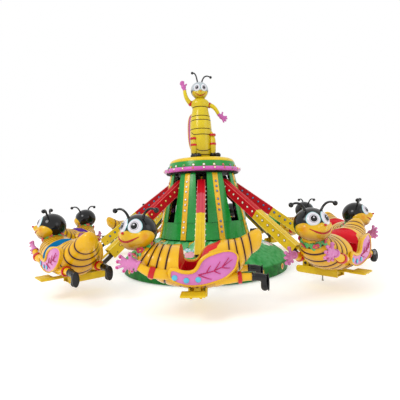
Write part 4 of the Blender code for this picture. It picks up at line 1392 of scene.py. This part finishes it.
# %% Make the light strips
def strip_parts(direction):
    """Yellow light strip with its lamps at a direction: slots 0 strip, 1 lamp, 2 socket."""
    low, high = CLADDING_LOW + 0.006, CLADDING_HIGH - 0.006
    slope = math.atan(CONE_SLOPE)
    sine, cosine = math.sin(direction), -math.cos(direction)
    out = Vector((sine * math.cos(slope), cosine * math.cos(slope), math.sin(slope)))

    def bar(shape):
        block(shape, (-STRIP_HALF, -0.012, low), (STRIP_HALF, STRIP_RISE, high), 0.008, 2)
        tall = [edge for edge in shape.edges if edge.calc_length() > 1]
        bmesh.ops.subdivide_edges(shape, edges=tall, cuts=6)

    def lamps(shape, cap):
        for z in STRIP_LAMP_HEIGHTS:
            radius = cladding_radius(z) + STRIP_RISE
            lamp(shape, (radius * sine, radius * cosine, z), out, 0.026, cap)
    return [(on_cone(mesh_from(bar), direction), 0), (mesh_from(lambda shape: lamps(shape, True)), 1),
            (mesh_from(lambda shape: lamps(shape, False)), 2)]


# %% [markdown]
# The painted motifs are low domes and leaves a few millimetres thick. They are drawn flat, x sideways and z
# up, and wrapped onto the tower or the plinth afterwards.

# %% Draw the painted motifs
def disc(shape, x, z, radius_x, radius_z, rise, segments=20):
    """Low painted dome on the flat panel."""
    place = Matrix.Translation((x, 0.0, z)) @ Matrix.Diagonal((radius_x, rise, radius_z, 1))
    bmesh.ops.create_uvsphere(shape, u_segments=segments, v_segments=8, radius=1,
                              matrix=place @ Matrix.Rotation(math.pi / 2, 4, "X"))


def leaf_shape(shape, x, z, length, width, turn, rise=0.004):
    """Low pointed leaf on the flat panel, from its stalk at (x, z)."""
    fresh = bmesh.ops.create_grid(shape, x_segments=4, y_segments=6, size=1)["verts"]
    for corner in fresh:
        across, along = corner.co.x, (corner.co.y + 1) / 2
        wide = width * math.sin(math.pi * along ** 0.8) if 0 < along < 1 else 0
        corner.co = Vector((across * wide, rise + 0.003 * (1 - across ** 2), along * length))
    bmesh.ops.rotate(shape, cent=(0, 0, 0), matrix=Matrix.Rotation(turn, 3, "Y"), verts=fresh)
    bmesh.ops.translate(shape, vec=(x, 0, z), verts=fresh)
    bmesh.ops.reverse_faces(shape, faces=list({face for corner in fresh for face in corner.link_faces}))


def petals(shape, x, z, count, ring, size, rise, offset=0.0, segments=10):
    """Flat petals on a ring round (x, z); ring and size are pairs, across and up."""
    for petal in range(count):
        angle = math.tau * (petal + offset) / count
        disc(shape, x + ring[0] * math.cos(angle), z + ring[1] * math.sin(angle), *size, rise, segments)


def dots(shape, x, z, columns, rows, step, shift, size, rise):
    """Staggered rows of small dots; each odd row is shifted sideways."""
    for row in range(rows):
        for column in columns:
            disc(shape, x + column * step[0] + row % 2 * shift, z + row * step[1], size, size, rise, 8)


# Height of a leaf's stalk, its lean and its length.
GREENERY = [
    (1.58, 0.9, 0.12), (1.64, -0.5, 0.11), (1.56, -1.2, 0.11), (1.62, 0.1, 0.13), (1.38, 2.4, 0.12),
    (1.40, -2.2, 0.12), (1.36, 3.0, 0.12), (1.42, 1.6, 0.10), (1.70, 0.6, 0.09), (1.72, -0.9, 0.08),
    (1.30, 2.7, 0.09), (1.30, -2.6, 0.09)]
# Place and size of each scallop, and place of each white dot, from the middle of the blue motif.
SCALLOPS = [(-0.040, 0.004, 0.026), (0.0, 0.014, 0.034), (0.040, 0.004, 0.026), (0.0, -0.022, 0.036)]
WHITE_DOTS = [(-0.034, 0.006), (0.0, 0.022), (0.034, 0.006), (-0.014, -0.022), (0.016, -0.026)]
BLOOM_AT, BLUE_AT, PINK_AT, ROUND_AT = (0.158, 1.482), (0.138, 2.345), (0.140, 2.238), (0.146, 2.125)


def blooms(shape, side):
    """Round flower of two rings of petals."""
    x, z = side * BLOOM_AT[0], BLOOM_AT[1]
    petals(shape, x, z, 12, (0.054, 0.054), (0.020, 0.020), 0.009)
    petals(shape, x, z, 6, (0.026, 0.026), (0.024, 0.024), 0.015, 0.5)
    disc(shape, x, z, 0.056, 0.056, 0.011)


def greenery(shape, side):
    """Leaves above and below the flower."""
    for z, lean, size in GREENERY:
        leaf_shape(shape, side * 0.160, z, size, 0.021, side * lean)


def pink_petals(shape, side):
    """Five-petalled pink flower."""
    petals(shape, side * PINK_AT[0], PINK_AT[1], 5, (0.030, 0.030), (0.030, 0.030), 0.007, 0.25, 12)


def blue_scallops(shape, side):
    """Pale blue scallops at the top."""
    for dx, dz, size in SCALLOPS:
        disc(shape, side * BLUE_AT[0] + dx, BLUE_AT[1] + dz, size, size * 1.1, 0.006)


def white_dots(shape, side):
    """White dots on the scallops."""
    for dx, dz in WHITE_DOTS:
        disc(shape, side * BLUE_AT[0] + dx, BLUE_AT[1] + dz, 0.011, 0.012, 0.009, 10)


def yellow_rounds(shape, side):
    """Yellow round."""
    disc(shape, side * ROUND_AT[0], ROUND_AT[1], 0.058, 0.050, 0.006)


def brown_dots(shape, side):
    """Brown dots on the yellow round."""
    dots(shape, side * ROUND_AT[0], ROUND_AT[1] - 0.026, (-1, 0, 1), 3, (0.028, 0.026), 0.012, 0.006, 0.009)


def motif_parts():
    """Painted motifs on both halves of a panel, flat: slots 0 magenta, 1 dark green, 2 pink, 3 pale blue,
    4 cream, 5 yellow, 6 brown."""
    parts = []
    for slot, motif in enumerate((blooms, greenery, pink_petals, blue_scallops, white_dots, yellow_rounds,
                                  brown_dots)):
        for side in (-1, 1):
            parts.append((mesh_from(lambda shape: motif(shape, side), outward=motif is not greenery), slot))
    return parts


# %% Put the tower together
STRIP_LAMPS = ["blue", "green", "red", "white"] * 2
drum_mesh = mesh_from(build_drum)
panels = []
motifs = []
for k in range(ARMS):
    direction = (k + 0.5) * math.tau / ARMS
    # The inner faces of the panels and the drum take the dark paint of painted shade.
    panels.append((paint_inside(on_cone(mesh_from(build_panel), direction), 1), None))
    motifs += [(on_cone(mesh, direction), slot) for mesh, slot in motif_parts()]
    piece(f"light_strip_{k + 1}", joined(strip_parts(direction)),
          [STRIP_YELLOW, LAMPS[STRIP_LAMPS[k]], SOCKET], "rotor",
          stands_for=["tower_cladding"])
piece("tower_panels", joined([(paint_inside(drum_mesh, 1), None)] + panels), [GREEN, SHADE_DARK_GREEN], "rotor",
      stands_for=["tower_cladding"])
piece("tower_motifs", joined(motifs), [BLOOM, DARK_GREEN, PEACH, SKY, CREAM, STRIP_YELLOW, STEEL], "rotor",
      stands_for=["tower_cladding"])
core = frame["nodes"]["tower_core"]
core.data.materials.clear()
core.data.materials.append(STEEL)
print("tower motifs", sum(triangles(mesh) for mesh, _ in motifs), "triangles")

# %% [markdown]
# ## The crown
# A plate, dark with painted shade, carries a fat pink tube, a green band and a rounded yellow lid. Two rings
# of coloured lamps run round it.

# %% Model the crown
CROWN_RIM = (0.970, 2.535, 0.055)
BAND_SECTION = [
    (0.915, 2.4706), (0.905, 2.5406), (0.890, 2.660), (0.870, 2.740), (0.830, 2.740), (0.860, 2.4706)]
LID_SECTION = [
    (0.0, 2.7403), (0.852, 2.7403), (0.857, 2.755), (0.850, 2.780), (0.832, 2.804), (0.805, 2.825),
    (0.765, 2.841), (0.70, 2.8495), (0.60, 2.850), (0.0, 2.850)]
PLATE_SECTION = [(0.0, 2.4503), (0.950, 2.4503), (0.960, 2.458), (0.960, 2.492), (0.0, 2.492)]
LAMP_ORDER = ["white", "cream", "red", "blue", "gold", "white", "green"]


def tube_section(radius, height, thick):
    """Round (r, z) section of the rim."""
    turns = [math.tau * i / 24 for i in range(24)]
    return [(radius + thick * math.cos(turn), height + thick * math.sin(turn)) for turn in turns]


def spun_mesh(section, closed):
    """Mesh of a section that is spun round the tower's axis."""
    return mesh_from(lambda shape: spun(shape, section, closed))


for name, section, closed, finish, cad, slot_name in (
        ("rim", tube_section(*CROWN_RIM), True, RIM_PINK, "crown_rim", "pink_gelcoat"),
        ("band", BAND_SECTION, True, GREEN, "crown_band", "green_paint"),
        ("lid", LID_SECTION, False, CAP_YELLOW, "crown_cap", "yellow_paint"),
        ("plate", PLATE_SECTION, False, SHADE_DARK_GREEN, "crown_plate", "underside_paint")):
    piece(f"crown_{name}_dressed", spun_mesh(section, closed), [finish], "rotor", stands_for=[cad])

colours = sorted(LAMPS)
for ring_name, count, radius, height, size, cad in (
        ("crown_rim_lamps", 24, CROWN_RIM[0] + CROWN_RIM[2] * 0.92, CROWN_RIM[1] + 0.014, 0.022, "crown_rim"),
        ("crown_band_lamps", 22, 0.897, 2.632, 0.028, "crown_band")):
    parts = []
    for i in range(count):
        angle = math.tau * (i + 0.3) / count
        out = Vector((math.sin(angle), -math.cos(angle), 0.15))
        spot = (radius * math.sin(angle), -radius * math.cos(angle), height)
        parts.append((mesh_from(lambda shape: lamp(shape, spot, out, size)),
                      colours.index(LAMP_ORDER[i % len(LAMP_ORDER)])))
        parts.append((mesh_from(lambda shape: lamp(shape, spot, out, size, cap=False)), len(colours)))
    piece(ring_name, joined(parts), [LAMPS[colour] for colour in colours] + [SOCKET], "rotor",
          stands_for=[cad])
    print(ring_name, count)

# %% [markdown]
# ## The bee on the crown
# A ninth bee stands on the lid and waves. Its body is a tall egg-shaped moulding with brown lines, its head
# is the cars' head cast narrower, its black skull with a painted silver reflection on the top and front, and
# two folded wings hang down its back.

# %% Model the standing body
FIGURE_STATIONS = [
    (2.850, 0.240, 0.230), (2.895, 0.268, 0.262), (2.950, 0.285, 0.288), (3.150, 0.297, 0.300),
    (3.550, 0.292, 0.296), (3.800, 0.281, 0.284), (3.950, 0.264, 0.268), (4.170, 0.218, 0.226),
    (4.235, 0.214, 0.203), (4.290, 0.242, 0.216), (4.370, 0.250, 0.220), (4.430, 0.212, 0.190),
    (4.475, 0.150, 0.140)]
FIGURE_LINES = [2.955, 3.640, 3.875, 3.985, 4.235]
FIGURE_TURN = Matrix.Rotation(math.radians(8), 4, "Z")
LEG_X = {-1: -0.222, 1: 0.284}
SHOE_TURN = math.radians(38)
SHOULDER_HOOPS = [
    ((-0.246, -0.004, 4.365), (-0.075, -0.02, 0.075), 0.062, 0.036, 0.014),
    ((0.250, -0.002, 4.316), (0.078, -0.03, -0.035), 0.062, 0.032, 0.014)]
RAISED_ARM = [
    (-0.190, 0.000, 4.330, 0.066), (-0.262, -0.003, 4.375, 0.063), (-0.340, -0.030, 4.460, 0.056),
    (-0.390, -0.050, 4.580, 0.050), (-0.408, -0.060, 4.700, 0.044)]
LOWERED_ARM = [
    (0.180, 0.000, 4.330, 0.066), (0.250, -0.002, 4.318, 0.062), (0.345, -0.030, 4.270, 0.056),
    (0.425, -0.050, 4.175, 0.050), (0.482, -0.062, 4.060, 0.045)]
LEMON = gelcoat("lemon_gelcoat", "#CDB610", "#9C8204", shade_from="painted_shade", soft=0.3)
LEMON_FACE = gelcoat("lemon_face_gelcoat", "#CDB410", "#8A6C04", shade_from="painted_shade", soft=0.3,
                     blush_and_reflection="#C2700E")
HAND_PINK = gelcoat("pink_hand_gelcoat", "#B8589E", "#8E3C7C", soft=0.4)
# Painted reflection: the black skull turns silver towards its top and front.
SKULL_PAINTED_REFLECTION = gelcoat("black_skull_painted_reflection_paint", "#141519", "#A7ADB2", roughness=0.2, soft=0.1, blush_and_reflection="#AEB4B8")


def figure_widths(z):
    """Half width and half depth of the body at a height."""
    rows = np.array(smooth_path(FIGURE_STATIONS, 6))
    return np.interp(z, rows[:, 0], rows[:, 1]), np.interp(z, rows[:, 0], rows[:, 2])


def build_figure_body(shape):
    """Skin level rings, with a groove at every line."""
    heights = [(z, 0.0, 0) for z in np.linspace(2.851, 4.475, 46)]
    for line in FIGURE_LINES:
        heights = [row for row in heights if abs(row[0] - line) > 0.014]
        heights += [(line - 0.010, 0.0, 0), (line, 0.009, 1), (line + 0.010, 0.0, 1)]
    rings = []
    for z, sink, dark in sorted(heights):
        wide, deep = figure_widths(z)
        place = Matrix.Translation((0, 0, z)) @ Matrix.Diagonal((wide - sink, deep - sink, 1, 1))
        rings.append((place, dark))
    bmesh.ops.contextual_create(shape, geom=banded(shape, rings, BODY_SEGMENTS))


# %% [markdown]
# Lines, legs and hoops lie on the front of the body; one function finds its surface for the lines.

# %% Lay lines, legs and hoops on the body
def on_belly(x, z, rise=0.002):
    """Point on the front of the body."""
    wide, deep = figure_widths(z)
    return (x, -deep * math.sqrt(max(1 - (x / wide) ** 2, 0.02)) - rise, z)


def belly_lines(shape):
    """Painted edge of the belly plate: a top line with rounded ends and a hanging arc."""
    top = [(-0.262, 3.56), (-0.225, 3.502), (-0.18, 3.488), (0, 3.488), (0.18, 3.488), (0.225, 3.502),
           (0.262, 3.56)]
    arc = [(-0.150, 3.105), (-0.11, 3.075), (-0.05, 3.060), (0.02, 3.055), (0.10, 3.062), (0.16, 3.080),
           (0.205, 3.110)]
    for line in (top, arc):
        rows = [(*on_belly(x, z), 0.010) for x, z in smooth_path(line, 5)]
        tube(shape, rows, 6)


def figure_legs(shape):
    """Legs that are laminated onto the belly's sides."""
    for side in (-1, 1):
        x = LEG_X[side]
        tube(shape, smooth_path([(x - side * 0.035, -0.110, 3.560, 0.050), (x, -0.185, 3.370, 0.072),
                                 (x, -0.215, 3.150, 0.074), (x, -0.220, 2.960, 0.062)], 5), 20)


def figure_hoops(shape):
    """Red hoops on legs and shoulders."""
    for side, heights in ((-1, (3.385, 3.215)), (1, (3.475, 3.235))):
        for z in heights:
            hoop(shape, Matrix.Translation((LEG_X[side], -0.190 - 0.06 * (3.5 - z), z)), 0.071, 0.029, 0.015)
    for sizes in SHOULDER_HOOPS:
        hoop_at(shape, *sizes)


# %% [markdown]
# Shoes and hands are lumps that will be fused. The arms and feelers are tubes along smooth paths.

# %% Shape shoes, arms, hands and feelers
def figure_shoes(shape):
    """Black shoes turned to the figure's left."""
    toe = Vector((math.sin(SHOE_TURN), -math.cos(SHOE_TURN), 0))
    for side in (-1, 1):
        heel = Vector((LEG_X[side], -0.215, 2.922))
        tube(shape, [(*(heel + Vector((0, 0, 0.105))), 0.068), (*heel, 0.070)], 20)
        sole = ((-0.06, 0.058), (0.03, 0.066), (0.12, 0.064), (0.19, 0.052))
        tube(shape, [(*(heel + toe * along), radius) for along, radius in sole], 20)
        ball(shape, heel + toe * 0.165, (0.078, 0.078, 0.068), 20, 14)
        ball(shape, heel - toe * 0.05, (0.066, 0.066, 0.064), 20, 14)


def figure_arms(shape):
    """Raised and lowered arm."""
    for rows in (RAISED_ARM, LOWERED_ARM):
        tube(shape, smooth_path(rows, 5), 20)


HANDS = [
    ((-0.432, -0.065, 4.790), (-0.410, -0.060, 4.715),
     [(-0.512, -0.065, 4.868), (-0.500, -0.065, 4.912), (-0.468, -0.065, 4.935), (-0.430, -0.065, 4.925),
      (-0.358, -0.080, 4.850)]),
    ((0.560, -0.065, 3.985), (0.490, -0.063, 4.045),
     [(0.692, -0.065, 3.990), (0.702, -0.065, 3.935), (0.672, -0.065, 3.880), (0.618, -0.065, 3.850),
      (0.590, -0.080, 4.095)])]


def figure_hands(shape):
    """Gloved hands with four fingers and a thumb."""
    for palm, wrist, tips in HANDS:
        palm, wrist = Vector(palm), Vector(wrist)
        way = (palm - wrist).normalized()
        ball(shape, palm, (0.066, 0.040, 0.066), 18, 12)
        tube(shape, [(*(wrist - way * 0.02), 0.050), (*wrist.lerp(palm, 0.6), 0.046), (*palm, 0.040)], 14)
        for tip in tips:
            tip = Vector(tip)
            tube(shape, [(*palm, 0.030), (*palm.lerp(tip, 0.6), 0.023), (*palm.lerp(tip, 0.9), 0.023)], 10)
            ball(shape, tip, (0.024, 0.024, 0.024), 10, 8)


FEELERS = [
    [(-0.045, -0.020, 4.900, 0.021), (-0.072, -0.030, 5.030, 0.019), (-0.098, -0.040, 5.115, 0.018),
     (-0.140, -0.050, 5.160, 0.017), (-0.190, -0.060, 5.160, 0.017)],
    [(0.050, -0.020, 4.900, 0.021), (0.088, -0.030, 5.000, 0.019), (0.140, -0.040, 5.068, 0.018),
     (0.215, -0.050, 5.085, 0.017), (0.300, -0.060, 5.048, 0.017)]]


def figure_feelers(shape):
    """Feelers with round knobs; the one on the left stands taller."""
    for rows in FEELERS:
        tube(shape, smooth_path(rows, 4), 10)
        ball(shape, rows[-1][:3], (0.036, 0.036, 0.036), 16, 12)


# %% Put the standing bee together
WING_HALF = [(-0.045, 4.150), (-0.150, 4.180), (-0.250, 4.050), (-0.286, 3.750), (-0.268, 3.350),
             (-0.184, 3.120), (-0.076, 3.200), (-0.025, 3.600)]
WING_HALF_VEINS = [
    [(-0.09, 4.08), (-0.145, 3.80), (-0.16, 3.50), (-0.15, 3.25)],
    [(-0.13, 3.92), (-0.18, 3.84), (-0.23, 3.80)],
    [(-0.145, 3.74), (-0.20, 3.64), (-0.235, 3.58)], [(-0.145, 3.70), (-0.11, 3.60), (-0.08, 3.52)],
    [(-0.155, 3.52), (-0.19, 3.42), (-0.22, 3.38)]]


def back_wing_parts():
    """Two folded wings and the plate that holds them: slots 0 pink, 1 yellow, 2 magenta."""
    outline = [tuple(row) for row in smooth_path(WING_HALF, 6, closed=True)]
    parts = []
    for side in (-1, 1):
        turned = [(-side * x, z) for x, z in outline]

        def field(shape):
            prism(shape, turned, 0.338, 0.362)

        def edge(shape):
            tube(shape, [(x, 0.350, z, 0.014) for x, z in turned], 10, closed=True)

        def veins(shape):
            for line in WING_HALF_VEINS:
                for y in (0.338, 0.362):
                    rows = smooth_path([(-side * x, z) for x, z in line], 5)
                    radii = [0.008 - 0.004 * i / len(rows) for i in range(len(rows))]
                    tube(shape, [(x, y, z, radius) for (x, z), radius in zip(rows, radii)], 6)
        parts += [(mesh_from(field), 0), (mesh_from(edge), 1), (mesh_from(veins), 2)]

    def bridge(shape):
        block(shape, (-0.090, 0.230, 3.720), (0.090, 0.356, 4.080), 0.010)
    return parts + [(mesh_from(bridge), 1)]


figure_head = joined(make_face_parts(skull_slot=7, feelers=False))
paint_head_shade(figure_head)
JAW_SHARE = 0.86
jaw_points = {i for face in figure_head.polygons if face.material_index in (4, 5, 6) for i in face.vertices}
for i in jaw_points:
    figure_head.vertices[i].co.y *= JAW_SHARE
figure_head.update()
forehead = points_of(figure_head)
# Painted reflection on the skull: silver grows towards the top and the front.
painted_reflection = np.clip((forehead[:, 2] + 0.02) / 0.05, 0, 1) * np.clip((forehead[:, 0] + 0.10) / 0.08, 0, 1)
skull_points = np.zeros(len(forehead))
for face in figure_head.polygons:
    if face.material_index == 7:
        skull_points[list(face.vertices)] = 1
# The skull takes the painted reflection, and the jaw keeps a fainter cheek blush.
stored = np.array([entry.value for entry in figure_head.attributes["blush_and_reflection"].data])
give_values(figure_head, "blush_and_reflection", np.where(skull_points > 0, painted_reflection * skull_points, stored * 0.4))
figure_head.transform(Matrix.Translation((0.0, -0.005, 4.712)) @ Matrix.Rotation(math.radians(-89), 4, "Z")
                      @ Matrix.Rotation(math.radians(20), 4, "Y") @ Matrix.Diagonal((0.78, 0.80, 0.84, 1)))

body_parts = joined([
    (mesh_from(build_figure_body), None), (mesh_from(belly_lines), 1), (mesh_from(figure_legs), 0),
    (mesh_from(figure_hoops), 2),
    (fused(figure_shoes, 0.010, 4), 3)])
# Painted shade: the standing body grows darker towards the bottom.
give_values(body_parts, "painted_shade", np.clip((3.4 - points_of(body_parts)[:, 2]) / 1.2, 0, 0.5))
arm_parts_made = joined([(mesh_from(figure_arms), 0), (fused(figure_hands, 0.008, 2), 1)])
give_values(arm_parts_made, "painted_shade", np.zeros(len(arm_parts_made.vertices)))
head_whole = joined([(figure_head, None), (mesh_from(figure_feelers), 0)])
back_wings = joined(back_wing_parts())
for mesh in (body_parts, arm_parts_made, head_whole, back_wings):
    keep_own_places(mesh)
for name, mesh, finishes, slot, place, cads in (
        ("body", body_parts, [LEMON, GROOVE, RED, RUBBER], "yellow_gelcoat", FIGURE_TURN, ["figure_body"]),
        ("arms", arm_parts_made, [LEMON, HAND_PINK], "pink_gelcoat", FIGURE_TURN,
         ["figure_arm_raised", "figure_arm_lowered"]),
        ("head", head_whole, [BLACK, WHITE, PALE_BLUE, GREY, LEMON_FACE, LIP, RED, SKULL_PAINTED_REFLECTION],
         "yellow_gelcoat", FIGURE_TURN, ["figure_head"]),
        ("wings", back_wings, [PINK, YELLOW, MAGENTA], "pink_gelcoat",
         FIGURE_TURN @ Matrix.Translation((-0.035, 0, 0)), ["figure_wings"])):
    piece(f"standing_{name}", mesh, finishes, "rotor", place, cads)
print("standing bee", sum(triangles(mesh) for mesh in (body_parts, arm_parts_made, head_whole, back_wings)))

# %% [markdown]
# ## The plinth
# The fixed plinth is a wide moulded dome with a short upright wall. Its slope is brushed pale green, the
# wall is darker, and a skirt of painted leaves runs round the turning drum.

# %% Model the plinth
PLINTH_SECTION = [
    (0.0, 0.800), (1.200, 0.800), (1.300, 0.745), (1.450, 0.682), (1.660, 0.602), (1.880, 0.500),
    (2.030, 0.395), (2.105, 0.315), (2.138, 0.285), (2.152, 0.262), (2.150, 0.235), (2.140, 0.020),
    (2.070, 0.0), (0.0, 0.0)]


def plinth_height(radius):
    """Height of the plinth's slope at a radius."""
    rows = PLINTH_SECTION[1:10]
    return float(np.interp(radius, [row[0] for row in rows], [row[1] for row in rows]))


def on_slope(mesh, direction, radius):
    """Lay a flat mesh, x sideways, z up the slope and y its height, on the plinth at a radius.

    These flat axes are left-handed too, so the faces are turned again.
    """
    for point in mesh.vertices:
        away = radius - point.co.z
        turn = direction + point.co.x / max(away, 0.5)
        height = plinth_height(away) + point.co.y
        point.co = Vector((away * math.sin(turn), -away * math.cos(turn), height))
    mesh.update()
    mesh.flip_normals()
    return mesh


def plinth_paint():
    """Brushed green on the slope that turns darker on the wall."""
    made, tree, shader = new_finish("plinth_green_paint", IOR=1.5, Specular_IOR_Level=0.18)
    spot = places(tree, False)
    height = node(tree, "SeparateXYZ", links={"Vector": spot}).outputs["Z"]
    strokes = ranged(tree, noise(tree, spot, 9.0, 5.0), 0.35, 0.68)
    slope = mixed(tree, "#4CA860", "#168A38", strokes)
    wall = mixed(tree, "#0A7424", "#065418", strokes)
    base = mixed(tree, wall, slope, ranged(tree, height, 0.255, 0.30))
    dust = ranged(tree, noise(tree, spot, 31.0, 6.0), 0.60, 0.72, 0.0, 0.35)
    dress(tree, shader, spot, mixed(tree, base, "#8A8A5E", dust), (17.0, 0.40, 0.60), (120.0, 3.0, 0.1))
    return made


# %% [markdown]
# A skirt of leaves, a flower between every two arms and a posy beside each arm are laid on the slope, and
# round flowers on the wall.

# %% Decorate the plinth
def skirt_leaves(shape, parity):
    """Every other leaf of the skirt, laid flat."""
    leaf_shape(shape, 0, 0, 0.36, 0.095 if parity else 0.105, math.pi, 0.010 + 0.004 * parity)


LEAF_PALE = gelcoat("pale_leaf_paint", "#86CE9A", "#2E9C50", own=False, roughness=0.35, soft=0.9)
LEAF_MID = gelcoat("mid_leaf_paint", "#2C9A4C", "#6CC088", own=False, roughness=0.35, soft=0.8)
plinth_mesh = mesh_from(lambda shape: spun(shape, PLINTH_SECTION, closed=False))
decor = []
LEAVES_ROUND = 40
POSY_TURN, POSY_RADIUS = math.radians(9.3), 1.540
WALL_RADIUS = 2.147
for i in range(LEAVES_ROUND):
    direction = math.tau * i / LEAVES_ROUND
    flat = mesh_from(lambda shape: skirt_leaves(shape, i % 2), outward=False)
    decor.append((on_slope(flat, direction, 1.215), 0 if i % 2 else 1))


def posy_scallops(shape, z, radius_x, radius_z, rise, segments):
    """Row of four scallops."""
    for column in range(4):
        disc(shape, -0.120 + column * 0.080, z, radius_x, radius_z, rise, segments)


# Painted shapes that are laid on the slope, each with its slot: a flower between the arms and a posy.
SLOPE_FLOWER = [
    (lambda shape: petals(shape, 0, 0, 6, (0.075, 0.075), (0.050, 0.050), 0.006, 0.0, 16), 2),
    (lambda shape: disc(shape, 0, 0, 0.045, 0.045, 0.011, 16), 3)]
POSY = [
    (lambda shape: petals(shape, 0, -0.150, 5, (0.068, 0.060), (0.066, 0.062), 0.010, 0.25, 16), 6),
    (lambda shape: disc(shape, 0, 0.235, 0.140, 0.125, 0.014, 24), 4),
    (lambda shape: dots(shape, 0, 0.175, range(-2, 3), 4, (0.045, 0.040), 0.020, 0.010, 0.022), 7),
    (lambda shape: posy_scallops(shape, 0.035, 0.060, 0.075, 0.012, 16), 3),
    (lambda shape: posy_scallops(shape, 0.040, 0.026, 0.030, 0.018, 12), 2)]
# Radius, rise and slot of the two rounds that make a flower on the wall.
RIM_ROUNDS = [(0.075, 0.008, 4), (0.052, 0.013, 5)]
for i in range(ARMS):
    for shapes, turn, radius in ((SLOPE_FLOWER, (i + 0.62) * math.tau / ARMS, 1.62),
                                 (POSY, i * math.tau / ARMS - POSY_TURN, POSY_RADIUS)):
        decor += [(on_slope(mesh_from(build), turn, radius), slot) for build, slot in shapes]
    for share in (0.30, 0.80):
        turn = (i + share) * math.tau / ARMS
        out = Vector((math.sin(turn), -math.cos(turn), 0))
        for radius, rise, slot in RIM_ROUNDS:
            mesh = mesh_from(lambda shape: ball(shape, (0, 0, 0), (radius, radius, rise), 20, 8))
            mesh.transform(facing(out * WALL_RADIUS + Vector((0, 0, 0.175)), out))
            decor.append((mesh, slot))
piece("plinth_dressed", plinth_mesh, [plinth_paint()], "base", stands_for=["base_plinth"])
piece("plinth_decor", joined(decor), [LEAF_PALE, LEAF_MID, CREAM, SKY, STRIP_YELLOW, RED, PEACH, STEEL],
      "base", stands_for=["base_plinth"])
print("plinth decor", sum(triangles(mesh) for mesh, _ in decor), "triangles")

# %% [markdown]
# ## Stage, light and camera
# The ride stands on a plain pale floor in soft studio light. The camera is set at eye height, 1.8 m above
# the ground and 8.7 m from the tower, and is tilted by two degrees, as the reference view is.

# %% Set the stage
FLOOR_HALF = 60
SENSOR_MM, IMAGE_PIXELS = 36, 400
floor_mesh = mesh_from(
    lambda shape: bmesh.ops.create_grid(shape, x_segments=2, y_segments=2, size=FLOOR_HALF))
floor_finish, floor_tree, floor_shader = new_finish("pale_floor", Roughness=0.9, Emission_Strength=0.30)
floor_spot = places(floor_tree, False)
floor_tree.links.new(mixed(floor_tree, "#F4F4F2", "#EDEDEA", noise(floor_tree, floor_spot, 0.4)),
                     floor_shader.inputs["Base Color"])
floor_mesh.materials.append(floor_finish)
floor_object = bpy.data.objects.new("floor", floor_mesh)
floor_object.location = (0, 0, -0.002)
bpy.context.scene.collection.objects.link(floor_object)

world = bpy.data.worlds.new("daylight")
bpy.context.scene.world = world
world.use_nodes = True
background = world.node_tree.nodes["Background"]
background.inputs["Color"].default_value = linear_colour("#FFFFFF")
background.inputs["Strength"].default_value = 1.0


def soft_light(name, place, size, power):
    """Large soft light that looks at the tower's middle."""
    data = bpy.data.lights.new(name, "AREA")
    data.shape, data.size, data.energy = "DISK", size, power
    made = bpy.data.objects.new(name, data)
    bpy.context.scene.collection.objects.link(made)
    made.location = place
    made.rotation_euler = (Vector((0, 0, 1.5)) - Vector(place)).to_track_quat("-Z", "Y").to_euler()
    return made


soft_light("key_light", (-7, -9, 10), 5, 520)
soft_light("fill_light", (9, -6, 6), 6, 90)

CAMERA_AT = Vector((0.3169, -8.679, 1.8047))
CAMERA_YAW, CAMERA_PITCH, CAMERA_ROLL = 0.0466, -0.0041, 0.0336
FOCAL_PIXELS = 321.9
camera_data = bpy.data.cameras.new("camera")
camera_data.sensor_width = SENSOR_MM
camera_data.lens = SENSOR_MM * FOCAL_PIXELS / IMAGE_PIXELS
camera_data.clip_end = 200
camera = bpy.data.objects.new("camera", camera_data)
bpy.context.scene.collection.objects.link(camera)
camera.matrix_world = (Matrix.Translation(CAMERA_AT) @ Matrix.Rotation(CAMERA_YAW, 4, "Z")
                       @ Matrix.Rotation(math.pi / 2 + CAMERA_PITCH, 4, "X")
                       @ Matrix.Rotation(-CAMERA_ROLL, 4, "Z"))
bpy.context.scene.camera = camera
bpy.context.scene.view_settings.view_transform = "Standard"

# %% Measure and finish
print("added triangles", sum(triangles(made.data) for made in made_pieces))
